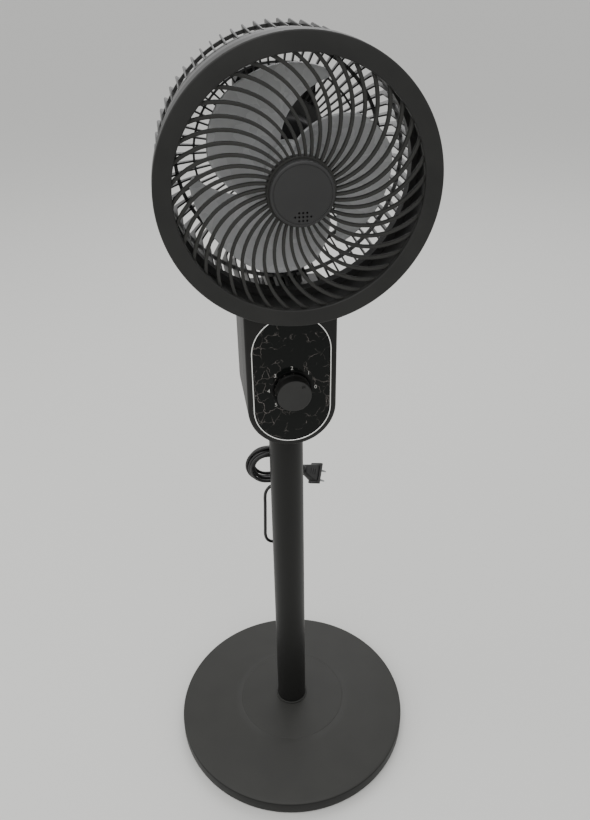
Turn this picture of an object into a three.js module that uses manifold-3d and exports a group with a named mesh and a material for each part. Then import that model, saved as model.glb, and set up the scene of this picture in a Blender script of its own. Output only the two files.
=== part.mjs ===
// A small oscillating pedestal fan. Millimetres, +Z up, origin under the middle of the foot.
// The fan blows towards -Y. Head pieces are written about the head's own axis, which runs along Y.
import * as THREE from 'three';
import { mergeVertices } from 'three/addons/utils/BufferGeometryUtils.js';
import Module from 'manifold-3d';

const wasm = await Module();
wasm.setup();

// Fits shared by all pieces
const restGap = 0.3;
const runGap = 0.2;
const cutOverrun = 2;
const mergeTolerance = 0.0001;

// Facets round a full turn
const baseFacets = 40;
const headFacets = 40;
const tubeFacets = 20;
const motorFacets = 16;
const hiddenFacets = 12;
const smallFacets = 12;
const screwFacets = 6;
const arcFacets = 6;
const eyeFacets = 4;
const podFacets = 3;
const roundingFacets = 2;

// Foot
const baseRadius = 160;
const baseRimHeight = 20.2;
const baseRimRounding = 3;
const baseDomeRise = 23;
const baseDomePower = 1.5;
const baseRingShare = 0.72;
const baseWall = 2.5;
const baseSkirtClearance = 1.2;
const baseHubRadius = 34;
const grooveRadius = 73.7;
const grooveWidth = 1.4;
const grooveDepth = 0.8;
const footRadius = 9;
const footHeight = 2.5;
const footInset = 32;
const footCount = 4;
const underplateThickness = 2.5;
const weightThickness = 7;
const weightMargin = 8;
const baseBoltRadius = 5;
const baseBoltHeadRadius = 9;
const baseBoltHeadHeight = 2.4;
const baseBoltLength = 26;
const columnPlugHeight = 20;

// Column
const columnRadius = 19.7;
const columnWall = 1.5;
const columnInsertion = 26;
const collarWall = 1.8;
const collarHeight = 2.2;

// Housing on the column
const housingHalfWidth = 46.7;
const housingBottom = 519.4;
const housingHeight = 159;
const housingFront = -54;
const housingRear = 38;
const housingFrontDepth = 28;
const housingWall = 2.5;
const housingFaceWall = 5;
const housingFrontRounding = 2.5;
const housingRearRounding = 5;
const socketWall = 3;
const turretRadius = 22;
const turretProud = 2.6;
const turretDepth = 23;
const screwRadius = 1.6;
const screwHeadRadius = 3.2;
const screwHeadHeight = 2;
const housingBossRadius = 5.2;
const housingBossInset = 10.7;
const housingBossLowRise = 8.9;
const housingBossHighRise = 14.3;
const housingScrewHeadDepth = 28;
const housingScrewLength = 52;

// Control panel
const trimInset = 5.1;
const trimWidth = 1.8;
const trimProud = 0.2;
const panelSetback = 0.2;
const panelThickness = 2;
const knobRadius = 18;
const knobTaper = 0.5;
const knobDepth = 15.1;
const knobEdge = 0.8;
const knobMarkRadius = 1.8;
const knobMarkDepth = 0.7;
const knobMarkOffset = 13.5;
const knobMarkAngle = Math.PI / 4;
const switchShaftRadius = 3;
const switchShaftReach = 9.7;
const switchHalfWidth = 14;
const switchHalfHeight = 15;
const switchDepth = 18;
const switchMotorGap = 1.8;

// Oscillation drive
const gearModule = 1.5;
const neckGearTeeth = 24;
const pinionTeeth = 8;
const gearWidth = 7.4;
const gearAddendumShare = 0.8;
const gearDedendumShare = 1.15;
const toothRootShare = 0.3;
const toothTipShare = 0.1;
const gearPlateDrop = 50.1;
const gearPlateThickness = 2;
const gearPlateEnd = 4;
const gearPlateWireHole = 6;
const oscMotorRadius = 20;
const oscMotorHeight = 22;
const pinionShaftRadius = 2.5;
const pinionShaftReach = 6;

// Neck and tilt joint
const neckShaftRadius = 11;
const neckShaftBore = 7;
const neckDiscRadius = 23;
const neckDiscHeight = 5.2;
const neckDiscEdge = 2.2;
const forkEarWidth = 7.4;
const neckFootLength = 6;
const neckRingRadius = 17;
const neckRingHeight = 3;
const bushingWall = 3.5;
const tiltInset = 5;
const forkFloorRise = 2.5;
const tiltEyeRadius = 12;
const tiltPinRadius = 4;
const tiltPinHeadRadius = 7.5;
const tiltPinHeadHeight = 3;
const tiltNutRadius = 7;
const tiltNutHeight = 4.5;
const tongueHalfWidth = 11;
const tongueTop = 20;
const tongueHalfLength = 8;
const forkFloorGap = 1;
const washerThickness = 1;
const washerRadius = 10;

// Head
const ringDrop = 8;
const spinnerClearance = 14.7;
const ringOuterRadius = 119;
const ringFaceWidth = 15.5;
const ringPlate = 3;
const ringSkirt = 15.7;
const ringSkirtWall = 2.8;
const ringEdge = 1.2;
const bandDepth = 54.7;
const bandWall = 2.5;
const bandSpigotWall = 2.4;
const bandShoulder = 1.8;

// Front grille
const ribCount = 40;
const ribTurnLinear = 22 * Math.PI / 180;
const ribTurnSquare = 16.5 * Math.PI / 180;
const ribPhase = 1.2 * Math.PI / 180;
const ribInnerWidth = 2.3;
const ribOuterWidth = 3;
const ribInnerDepth = 5;
const ribOuterDepth = 3.6;
const ribSteps = 4;
const ribHubSetback = 0.3;
const ribRimSetback = 3.2;
const ribEmbed = 2.2;
const grilleHubRadius = 29;
const grilleHubDepth = 8;
const grilleHoopDepth = 4.5;
const hubCapRadius = 26.8;
const hubCapProud = 6;
const hubCapEdge = 1.5;
const hubCapDome = 0.6;

// Rear guard
const finCount = 70;
const finFirstShare = 0.05;
const finThickness = 1.6;
const finDepth = 8;
const finDepthShares = [1, 1.05, 0.97, 0.8, 0.15];
const finSeat = 1.7;
const finEmbed = 4;
const drumInset = 0.7;
const drumEndDrop = 19.7;
const cornerInset = 7.5;
const cornerDrop = 11.7;
const domeInset = 18.5;
const domeDrop = 5.7;
const guardDiscRadius = 52;
const guardDiscBore = 12;
const guardDiscThickness = 3;
const guardRimDepth = 9;
const guardRimInset = 9.2;
const guardSpigotDepth = 2.2;
const guardNeckInset = 2.8;
const guardNeckDepth = 4;

// Pod behind the guard
const podHalfWidth = 37.3;
const podTop = 75;
const podEyeGap = 2;
const podTopRounding = 18;
const podBottomRounding = 30;
const podFrontDepth = 13;
const podRearDepth = 22;
const podWall = 2.5;
const podRearRounding = 6;
const podShaftHole = 10;

// Motor
const motorRadius = 40;
const motorParting = -12;
const motorCoverDepth = 24;
const motorWall = 2;
const motorEdge = 4;
const bearingRadius = 9;
const bearingWidth = 5;
const bearingBoreWidth = 6;
const statorInset = 3;
const statorInnerRadius = 23;
const statorHalfLength = 9;
const rotorGap = 1.2;
const shaftRadius = 4;
const shaftTipInset = 3;
const shaftRearInset = 4;
const motorScrewInset = 14;
const motorScrewLength = 15;

// Impeller
const bladeCount = 3;
const bladeTipInset = 15.5;
const bladeThickness = 2;
const bladeFrontInset = 10;
const bladeRearInset = 2;
const bladeTrailAngle = 150 * Math.PI / 180;
const bladeTrailSweep = 66 * Math.PI / 180;
const bladeLeadAngle = 59 * Math.PI / 180;
const bladeLeadSweep = 45 * Math.PI / 180;
const bladeCornerDrop = 13;
const bladeCornerShare = 0.24;
const bladeLeadDrop = 5;
const bladeLeadShare = 0.1;
const bladeChordSteps = 6;
const bladeSpanSteps = 3;
const bladeEmbed = 1.2;
const impellerHubRadius = 24;
const impellerHubDepth = 54;
const impellerGap = 6;
const impellerHubWall = 2.5;
const impellerHubEdge = 4;
const impellerBossRadius = 8;
const impellerBossInset = 8;
const spinnerRadius = 9;
const spinnerDepth = 11;

// Mains lead
const cordRadius = 2;
const cordSides = 8;
const cordStep = 12;
const glandY = 27;
const glandFlangeRadius = 5;
const glandFlangeHeight = 2.5;
const glandNeckRadius = 3.4;
const glandInnerHeight = 3;
const glandTaperTop = 4.2;
const glandTaperEnd = 2.7;
const glandTaperLength = 25;
const coilX = -11.2;
const coilZ = 435;
const coilFrontY = 22.3;
const coilInnerRadius = 17.5;
const coilRun = 16;
const coilPitch = 5.1;
const coilLayerStep = 4.8;
const coilLayers = 4;
const coilSteps = 24;
const coilSides = 6;
const coilStartStep = 4;
const coilEndStep = 11;
const coilWholeTurns = 7;
const spiralTurnsShare = 1.5;
const climbTurnsShare = 0.5;
const tieWidth = 5;
const tieThickness = 1;
const tieGap = 0.5;
const plugStart = [17.4, 47, 416.9];
const plugSlope = 40 * Math.PI / 180;
const plugYaw = 25 * Math.PI / 180;
const plugRoll = 30 * Math.PI / 180;
const plugBootLength = 20;
const plugBootStart = 2.7;
const plugBootEnd = 4.5;
const plugNeckHalfWidth = 6;
const plugNeckHalfHeight = 5;
const plugBodyLength = 20;
const plugBodyHalfWidth = 11;
const plugBodyHalfHeight = 7;
const plugFlangeLength = 4;
const plugFlangeHalfWidth = 13.5;
const plugFlangeHalfHeight = 8.5;
const pinLength = 16;
const pinHalfWidth = 3.15;
const pinHalfThickness = 0.75;
const pinSpacing = 12.7;
const pinSeatDepth = 8;

// The lead's routes, chosen by hand. The lead hangs from its gland and carries the tied coil.
const leadRoute = [
  [0, 27, 488], [1, 28.2, 482], [2.8, 31, 475.5], [5.2, 34.2, 469], [8.2, 36.2, 462.5],
];
const tailRoute = [
  [-16.9, 22, 407.5], [-21.2, 21.6, 403.9], [-23.9, 21, 399.1], [-24.9, 20.5, 393.6],
  [-25.3, 20, 380], [-25.9, 20, 360], [-26.4, 20, 342], [-26.5, 20.2, 331], [-24.3, 20.8, 322.9],
  [-18.4, 22.2, 316.9], [-10.3, 24.2, 314.8], [-2.2, 25.8, 316.9], [3.8, 27, 322.9],
  [6, 28, 331], [5.6, 30, 345], [3.6, 33.4, 362], [0, 38, 380], [-5.4, 42, 393.6],
  [-9.4, 43.6, 403], [-8.5, 44.1, 412.4], [-2.6, 44.3, 418.3], [5.4, 44.7, 420.4],
  [12, 45.3, 419.8],
];

// Sizes that follow from those above
const footCircle = baseRadius - footInset;
const underplateBottom = footHeight;
const weightBottom = underplateBottom + underplateThickness;
const weightTop = weightBottom + weightThickness;
const columnBore = columnRadius - columnWall;
const columnTop = housingBottom + columnInsertion;
const housingTop = housingBottom + housingHeight;
const housingParting = housingFront + housingFrontDepth;
const housingLowCentre = housingBottom + housingHalfWidth;
const housingHighCentre = housingTop - housingHalfWidth;
const housingInnerHalf = housingHalfWidth - housingWall;
const housingBossOffset = housingHalfWidth - housingBossInset;
const housingBossLow = housingLowCentre + housingBossLowRise;
const housingBossHigh = housingHighCentre + housingBossHighRise;
const trimHalfWidth = housingHalfWidth - trimInset;
const panelHalfWidth = trimHalfWidth - trimWidth - restGap;
const recessFloor = housingFront + panelSetback + panelThickness;
const faceBack = housingFront + housingFaceWall;
const panelFront = recessFloor - panelThickness;
const knobBack = panelFront - restGap;
const knobFront = knobBack - knobDepth;
const gearPlateHeight = housingTop - gearPlateDrop;
const knobHeight = gearPlateHeight - oscMotorHeight - switchMotorGap - switchHalfHeight;
const gearPlateTop = gearPlateHeight + gearPlateThickness;
const neckGearRadius = gearModule * neckGearTeeth / 2;
const pinionRadius = gearModule * pinionTeeth / 2;
const pinionY = -(neckGearRadius + pinionRadius);
const gearBottom = gearPlateTop + cutOverrun;
const turretTop = housingTop + turretProud;
const turretBottom = turretTop - turretDepth;
const turretBore = neckShaftRadius + runGap + bushingWall + runGap;
const neckBottom = turretTop + restGap;
const neckDiscTop = neckBottom + neckDiscHeight;
const forkHalfGap = tongueHalfWidth + restGap + washerThickness + restGap;
const neckHalfWidth = forkHalfGap + forkEarWidth;
const forkFloor = neckDiscTop + forkFloorRise;
const tiltZ = forkFloor + forkFloorGap + tiltEyeRadius;
const headRise = ringOuterRadius - ringDrop;
const headZ = tiltZ + headRise;
const motorFront = motorParting - motorCoverDepth;
const guardDiscFront = motorParting + motorCoverDepth;
const statorOuterRadius = motorRadius - statorInset;
const rotorRadius = statorInnerRadius - rotorGap;
const motorScrewCircle = motorRadius - motorScrewInset;
const impellerHubRear = motorFront - impellerGap;
const impellerHubFront = impellerHubRear - impellerHubDepth;
const impellerBossRear = impellerHubRear - impellerBossInset;
const bladeFront = impellerHubFront + bladeFrontInset;
const bladeRear = impellerHubRear - bladeRearInset;
const spinnerFront = impellerHubFront - spinnerDepth;
const shaftFront = spinnerFront + shaftTipInset;
const shaftRear = guardDiscFront - shaftRearInset;
const ringFace = spinnerFront - spinnerClearance;
const ringBack = ringFace + ringPlate;
const ringInnerRadius = ringOuterRadius - ringFaceWidth;
const bladeTipRadius = ringInnerRadius - bladeTipInset;
const ringSkirtEnd = ringFace + ringSkirt;
const ringSkirtInner = ringOuterRadius - ringSkirtWall;
const hoopBack = ringBack + grilleHoopDepth;
const bandSpigotOuter = ringSkirtInner - restGap;
const bandSpigotInner = bandSpigotOuter - bandSpigotWall;
const bandRearRadius = ringSkirtInner;
const bandRear = ringFace + bandDepth;
const drumRadius = bandRearRadius - drumInset;
const domeRear = guardDiscFront + finSeat;
const podFront = guardDiscFront + guardDiscThickness;
const podParting = podFront + podFrontDepth;
const podRear = podParting + podRearDepth;
const podBottom = tiltEyeRadius + podEyeGap - headRise;
const tiltY = podFront + tiltInset;
const coilOuterRadius = coilInnerRadius + spiralTurnsShare * coilPitch;
const coilRearY = coilFrontY + (coilLayers - 1) * coilLayerStep;
const glandBottom = housingBottom - restGap - glandFlangeHeight;
const cordDiameter = 2 * cordRadius;

// Finishes
const finish = (color, roughness, metalness = 0) =>
  new THREE.MeshStandardMaterial({ color, roughness, metalness });
const charcoal = () => finish(0x2d2d2b, 0.55);
const satinCharcoal = () => finish(0x444547, 0.45);
const innerBlack = () => finish(0x161616, 0.7);
const glossBlack = () => finish(0x1c1e1c, 0.12);
const silver = () => finish(0xd4d4d2, 0.25, 1);
const smoke = () => finish(0x6e757b, 0.25);
const zincSteel = () => finish(0x9a9c9e, 0.4, 1);
const darkSteel = () => finish(0x4b4c4e, 0.5, 1);
const castIron = () => finish(0x3a3a3a, 0.8, 1);
const bronze = () => finish(0xa07a45, 0.4, 1);
const softRubber = () => finish(0x181818, 0.9);
const cordBlack = () => finish(0x121212, 0.5);
const gearWhite = () => finish(0xd9d7cf, 0.5);

// A closed geometry as a solid, faces out
function solidOf(geometry) {
  geometry.deleteAttribute('normal');
  geometry.deleteAttribute('uv');
  const merged = mergeVertices(geometry, mergeTolerance);
  const corners = merged.index.array;
  const build = (flip) => {
    const triangles = [];
    for (let i = 0; i < corners.length; i += 3) {
      const [a, b, c] = [corners[i], corners[i + 1], corners[i + 2]];
      if (a === b || b === c || c === a) continue;
      triangles.push(a, flip ? c : b, flip ? b : c);
    }
    return new wasm.Manifold(new wasm.Mesh({
      numProp: 3,
      vertProperties: merged.attributes.position.array,
      triVerts: new Uint32Array(triangles),
    }));
  };
  const made = build(false);
  return made.volume() < 0 ? build(true) : made;
}

function part(name, solid, material) {
  const made = solid.getMesh();
  const geometry = new THREE.BufferGeometry();
  geometry.setAttribute('position', new THREE.BufferAttribute(made.vertProperties, 3));
  geometry.setIndex(new THREE.BufferAttribute(made.triVerts, 1));
  geometry.computeVertexNormals();
  const mesh = new THREE.Mesh(geometry, material);
  mesh.name = name;
  return mesh;
}

const joined = (...solids) => solids.reduce((sum, solid) => sum.add(solid));
const cutBy = (solid, ...cutters) => cutters.reduce((left, cutter) => left.subtract(cutter), solid);

// Revolved solids: a profile of (radius, height) points about the Y, Z or X axis
function turnedY(points, facets = headFacets, phase = 0) {
  const profile = points.map(([r, h]) => new THREE.Vector2(r, h));
  return solidOf(new THREE.LatheGeometry(profile, facets, phase));
}
function turnedZ(points, facets = baseFacets) {
  return turnedY(points, facets).rotate([90, 0, 0]);
}
function turnedX(points, facets = smallFacets) {
  return turnedY(points, facets).rotate([0, 0, -90]);
}
const discPoints = (radius, low, high) => [[0, low], [radius, low], [radius, high], [0, high]];
const ringPoints = (inner, outer, low, high) =>
  [[inner, low], [outer, low], [outer, high], [inner, high], [inner, low]];

function block(x0, x1, y0, y1, z0, z1) {
  const box = new THREE.BoxGeometry(x1 - x0, y1 - y0, z1 - z0);
  box.translate((x0 + x1) / 2, (y0 + y1) / 2, (z0 + z1) / 2);
  return solidOf(box);
}

// An outline drawn as (x, z), carried along Y from front to rear
function alongY(shape, front, rear) {
  const body = new THREE.ExtrudeGeometry(shape, {
    depth: rear - front, bevelEnabled: false, curveSegments: shape.fineness ?? arcFacets,
  });
  body.rotateX(Math.PI / 2);
  body.translate(0, rear, 0);
  return solidOf(body);
}

// The same with a rounded edge at one end and a flat cut at the other
function roundedAlongY(shape, flatEnd, roundEnd, rounding, reach) {
  const away = Math.sign(flatEnd - roundEnd);
  const longEnd = flatEnd + away * 2 * rounding;
  const front = Math.min(longEnd, roundEnd);
  const rear = Math.max(longEnd, roundEnd);
  const body = new THREE.ExtrudeGeometry(shape, {
    depth: rear - front - 2 * rounding, curveSegments: shape.fineness ?? arcFacets,
    bevelEnabled: true, bevelThickness: rounding, bevelSize: rounding, bevelOffset: -rounding,
    bevelSegments: roundingFacets,
  });
  body.rotateX(Math.PI / 2);
  body.translate(0, rear - rounding, 0);
  const cutEnds = [flatEnd, flatEnd + away * 3 * rounding];
  const z = [shape.lowest - reach, shape.highest + reach];
  const cutter = block(-reach, reach, Math.min(...cutEnds), Math.max(...cutEnds), z[0], z[1]);
  return solidOf(body).subtract(cutter);
}

// An outline drawn as (y, z), carried along X
function alongX(shape, left, right) {
  const body = new THREE.ExtrudeGeometry(shape, {
    depth: right - left, bevelEnabled: false, curveSegments: shape.fineness ?? arcFacets,
  });
  const turn = new THREE.Matrix4().makeBasis(
    new THREE.Vector3(0, 1, 0), new THREE.Vector3(0, 0, 1), new THREE.Vector3(1, 0, 0));
  body.applyMatrix4(turn);
  body.translate(left, 0, 0);
  return solidOf(body);
}

// A shape with round top and bottom, standing between two centres
function obround(halfWidth, lowCentre, highCentre) {
  const shape = new THREE.Shape();
  shape.absarc(0, highCentre, halfWidth, 0, Math.PI, false);
  shape.absarc(0, lowCentre, halfWidth, Math.PI, 2 * Math.PI, false);
  shape.closePath();
  shape.lowest = lowCentre - halfWidth;
  shape.highest = highCentre + halfWidth;
  return shape;
}
const housingShape = (halfWidth) => obround(halfWidth, housingLowCentre, housingHighCentre);

// Foot: a low cone with a slightly hollow flank, the height of its skin at a radius
const domeHeight = (radius) =>
  baseRimHeight + baseDomeRise * (1 - (radius / baseRadius) ** baseDomePower);

function footMeshes() {
  const meshes = [];
  const edge = baseRadius - baseRimRounding;
  const half = grooveWidth / 2;
  const hole = columnRadius + restGap;
  const ring = baseRingShare * baseRadius;
  const onSkin = (radius) => [radius, domeHeight(radius)];
  const skin = [onSkin(hole), onSkin(grooveRadius - half)];
  skin.push([grooveRadius, domeHeight(grooveRadius) - grooveDepth]);
  skin.push(onSkin(grooveRadius + half), onSkin(ring), [edge, baseRimHeight]);
  for (const turn of [Math.PI / 4, Math.PI / 2]) {
    const r = edge + baseRimRounding * Math.sin(turn);
    skin.push([r, baseRimHeight - baseRimRounding * (1 - Math.cos(turn))]);
  }
  skin.push([baseRadius, baseSkirtClearance]);
  const inside = baseRadius - baseWall;
  const ceiling = baseRimHeight - baseWall - baseRimRounding / 2;
  const seat = weightTop;
  const under = [ring, grooveRadius, baseHubRadius]
    .map((radius) => [radius, domeHeight(radius) - baseWall]);
  const profile = [...skin, [inside, baseSkirtClearance], [inside, ceiling], ...under,
    [baseHubRadius, seat], [hole, seat], skin[0]];
  meshes.push(part('base_cover', turnedZ(profile), satinCharcoal()));
  const weightRadius = baseRadius - baseWall - weightMargin;
  const shank = baseBoltRadius + restGap;
  const weight = turnedZ(ringPoints(shank, weightRadius, weightBottom, weightTop), hiddenFacets);
  meshes.push(part('base_weight', weight, castIron()));
  const plateHole = baseBoltHeadRadius + cutOverrun;
  const plate = ringPoints(plateHole, inside - restGap, underplateBottom, weightBottom);
  meshes.push(part('base_underplate', turnedZ(plate, tubeFacets), innerBlack()));
  for (let i = 0; i < footCount; i += 1) {
    const turn = (i + 0.5) / footCount * 2 * Math.PI;
    const foot = turnedZ([[0, 0], [footRadius - footHeight / 2, 0], [footRadius, footHeight],
      [0, footHeight]], smallFacets);
    const mesh = part(`foot_${i + 1}`, foot, softRubber());
    mesh.position.set(footCircle * Math.cos(turn), footCircle * Math.sin(turn), 0);
    meshes.push(mesh);
  }
  const headLow = weightBottom - baseBoltHeadHeight;
  const boltTop = weightBottom + baseBoltLength;
  const bolt = [[0, headLow], [baseBoltHeadRadius, headLow], [baseBoltHeadRadius, weightBottom],
    [baseBoltRadius, weightBottom], [baseBoltRadius, boltTop], [0, boltTop]];
  meshes.push(part('base_bolt', turnedZ(bolt, smallFacets), zincSteel()));
  const plug = ringPoints(shank, columnBore - runGap, weightTop, weightTop + columnPlugHeight);
  meshes.push(part('column_plug', turnedZ(plug, hiddenFacets), zincSteel()));
  return meshes;
}

// Column
function columnMeshes() {
  const tube = turnedZ(ringPoints(columnBore, columnRadius, weightTop, columnTop), tubeFacets);
  const inner = columnRadius + restGap;
  const outer = inner + collarWall;
  const low = domeHeight(inner) + restGap;
  const collar = [[inner, low], [outer, low], [outer, low + collarHeight - collarWall],
    [outer - collarWall / 2, low + collarHeight], [inner, low + collarHeight], [inner, low]];
  return [part('column_tube', tube, charcoal()),
    part('column_collar', turnedZ(collar, tubeFacets), charcoal())];
}

// Places of the housing's screws
const housingScrewPlaces = [
  [-housingBossOffset, housingBossLow], [housingBossOffset, housingBossLow],
  [-housingBossOffset, housingBossHigh], [housingBossOffset, housingBossHigh],
];
const barY = (x, z, radius, front, rear, facets = screwFacets) =>
  turnedY(discPoints(radius, front, rear), facets).translate([x, 0, z]);

function housingFrontMesh() {
  const outside = roundedAlongY(housingShape(housingHalfWidth), housingParting, housingFront,
    housingFrontRounding, housingTop);
  let shell = cutBy(outside,
    alongY(housingShape(housingInnerHalf), faceBack, housingParting + cutOverrun),
    alongY(housingShape(trimHalfWidth + restGap), housingFront - cutOverrun, recessFloor),
    barY(0, knobHeight, switchShaftRadius + restGap, housingFront, faceBack + cutOverrun,
      smallFacets));
  for (const [x, z] of housingScrewPlaces) {
    shell = shell.add(barY(x, z, housingBossRadius, faceBack - cutOverrun / 2, housingParting));
  }
  shell = shell.intersect(alongY(housingShape(housingHalfWidth), housingFront, housingParting));
  for (const [x, z] of housingScrewPlaces) {
    shell = shell.subtract(barY(x, z, screwRadius + runGap, faceBack, housingParting + cutOverrun));
  }
  return part('housing_front', shell, charcoal());
}

function housingRearMesh() {
  const outside = roundedAlongY(housingShape(housingHalfWidth), housingParting, housingRear,
    housingRearRounding, housingTop);
  const pocketRear = housingRear - housingWall;
  const pocket = alongY(housingShape(housingInnerHalf), housingParting - cutOverrun, pocketRear);
  const socketRadius = columnRadius + restGap + socketWall;
  const socket = turnedZ(discPoints(socketRadius, housingBottom, columnTop), tubeFacets)
    .intersect(alongY(housingShape(housingHalfWidth - housingWall / 2), housingParting, pocketRear));
  const turret = turnedZ(discPoints(turretRadius, turretBottom, turretTop), tubeFacets);
  let shell = joined(outside.subtract(pocket), socket, turret);
  for (const [x, z] of housingScrewPlaces) {
    shell = shell.add(barY(x, z, housingBossRadius, housingParting, pocketRear + housingWall / 2));
  }
  const columnHole = discPoints(columnRadius + restGap, housingBottom - cutOverrun, columnTop);
  const neckHole = discPoints(turretBore, turretBottom - cutOverrun, turretTop + cutOverrun);
  const glandHole = discPoints(glandNeckRadius + restGap, housingBottom - cutOverrun,
    housingBottom + housingWall + cutOverrun);
  shell = cutBy(shell, turnedZ(columnHole, tubeFacets), turnedZ(neckHole, tubeFacets),
    turnedZ(glandHole, smallFacets).translate([0, glandY, 0]));
  for (const [x, z] of housingScrewPlaces) {
    const headSeat = housingRear - housingScrewHeadDepth;
    shell = cutBy(shell, barY(x, z, screwRadius + runGap, housingParting - cutOverrun, housingRear),
      barY(x, z, screwHeadRadius + restGap, headSeat, housingRear + cutOverrun));
  }
  return part('housing_rear', shell, charcoal());
}

function housingScrewMeshes() {
  return housingScrewPlaces.map(([x, z], i) => {
    const seat = housingRear - housingScrewHeadDepth;
    const screw = turnedY([[0, seat - housingScrewLength], [screwRadius, seat - housingScrewLength],
      [screwRadius, seat], [screwHeadRadius, seat], [screwHeadRadius, seat + screwHeadHeight],
      [0, seat + screwHeadHeight]], screwFacets).translate([x, 0, z]);
    return part(`housing_screw_${i + 1}`, screw, zincSteel());
  });
}

// Control panel, its bright trim, and the knob with its switch
function panelMeshes() {
  const face = alongY(housingShape(panelHalfWidth), panelFront, recessFloor)
    .subtract(barY(0, knobHeight, switchShaftRadius + restGap, housingFront - cutOverrun, faceBack,
      smallFacets));
  const trimInner = trimHalfWidth - trimWidth;
  const trim = alongY(housingShape(trimHalfWidth), housingFront - trimProud, recessFloor)
    .subtract(alongY(housingShape(trimInner), housingFront - cutOverrun, faceBack));
  return [part('control_panel', face, glossBlack()), part('panel_trim', trim, silver())];
}

function knobMeshes() {
  const faceRadius = knobRadius - knobTaper;
  const shaftFrontY = knobBack - switchShaftReach;
  const bore = switchShaftRadius + runGap;
  const profile = [[bore, knobBack], [bore, shaftFrontY - restGap], [0, shaftFrontY - restGap],
    [0, knobFront], [faceRadius - knobEdge, knobFront], [faceRadius, knobFront + knobEdge],
    [knobRadius, knobBack], [bore, knobBack]];
  const markX = knobMarkOffset * Math.cos(knobMarkAngle);
  const markZ = knobMarkOffset * Math.sin(knobMarkAngle);
  const mark = barY(markX, markZ, knobMarkRadius, knobFront - cutOverrun, knobFront + knobMarkDepth);
  const knob = part('knob', turnedY(profile, tubeFacets).subtract(mark), charcoal());
  const shaftRearY = faceBack + switchDepth - restGap - cutOverrun;
  const shaft = part('switch_shaft',
    turnedY(discPoints(switchShaftRadius, shaftFrontY, shaftRearY), smallFacets), gearWhite());
  const body = block(-switchHalfWidth, switchHalfWidth, faceBack, faceBack + switchDepth,
    -switchHalfHeight, switchHalfHeight).subtract(turnedY(discPoints(
    switchShaftRadius + runGap, faceBack - cutOverrun, shaftRearY + restGap), smallFacets));
  const switchBody = part('rotary_switch', body, innerBlack());
  return [knob, shaft, switchBody].map((mesh) => {
    mesh.position.z = knobHeight;
    return mesh;
  });
}

// A spur gear drawn with straight flanks, tooth 0 at the given angle
function gearSolid(teeth, bore, startAngle) {
  const pitch = gearModule * teeth / 2;
  const pitchAngle = 2 * Math.PI / teeth;
  const root = pitch - gearModule * gearDedendumShare;
  const tip = pitch + gearModule * gearAddendumShare;
  const shape = new THREE.Shape();
  const corners = [[-toothRootShare, root], [-toothTipShare, tip],
    [toothTipShare, tip], [toothRootShare, root]];
  for (let i = 0; i < teeth; i += 1) {
    for (const [share, radius] of corners) {
      const angle = startAngle + (i + share) * pitchAngle;
      const point = [radius * Math.cos(angle), radius * Math.sin(angle)];
      if (i === 0 && share === -toothRootShare) shape.moveTo(...point);
      else shape.lineTo(...point);
    }
  }
  shape.closePath();
  const body = solidOf(new THREE.ExtrudeGeometry(shape, { depth: gearWidth, bevelEnabled: false }));
  if (bore === 0) return body;
  return body.subtract(turnedZ(discPoints(bore, -cutOverrun, gearWidth + cutOverrun), tubeFacets));
}

function driveMeshes() {
  const plate = block(-housingInnerHalf, housingInnerHalf, faceBack + gearPlateEnd,
    housingRear - housingWall, gearPlateHeight, gearPlateTop);
  const motorHole = discPoints(pinionShaftRadius + gearPlateEnd, gearPlateHeight - cutOverrun,
    gearPlateTop + cutOverrun);
  const wireHole = discPoints(gearPlateWireHole, gearPlateHeight - cutOverrun,
    gearPlateTop + cutOverrun);
  const gearPlate = cutBy(plate, turnedZ(motorHole, smallFacets).translate([0, pinionY, 0]),
    turnedZ(wireHole, smallFacets));
  const shaftLow = gearPlateHeight - pinionShaftReach;
  const motorProfile = [[0, gearPlateHeight - oscMotorHeight],
    [oscMotorRadius, gearPlateHeight - oscMotorHeight], [oscMotorRadius, gearPlateHeight],
    [pinionShaftRadius + restGap, gearPlateHeight], [pinionShaftRadius + restGap, shaftLow - restGap],
    [0, shaftLow - restGap]];
  const oscMotor = turnedZ(motorProfile, hiddenFacets).translate([0, pinionY, 0]);
  const gearTop = gearBottom + gearWidth;
  const pinion = gearSolid(pinionTeeth, 0, Math.PI / pinionTeeth).translate([0, 0, gearBottom])
    .add(turnedZ(discPoints(pinionShaftRadius, shaftLow, gearTop), smallFacets))
    .translate([0, pinionY, 0]);
  const neckGear = gearSolid(neckGearTeeth, neckShaftRadius + runGap, 0)
    .translate([0, 0, gearBottom]);
  return [part('gear_plate', gearPlate, zincSteel()), part('osc_motor', oscMotor, darkSteel()),
    part('osc_pinion', pinion, gearWhite()), part('neck_gear', neckGear, gearWhite())];
}

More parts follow.
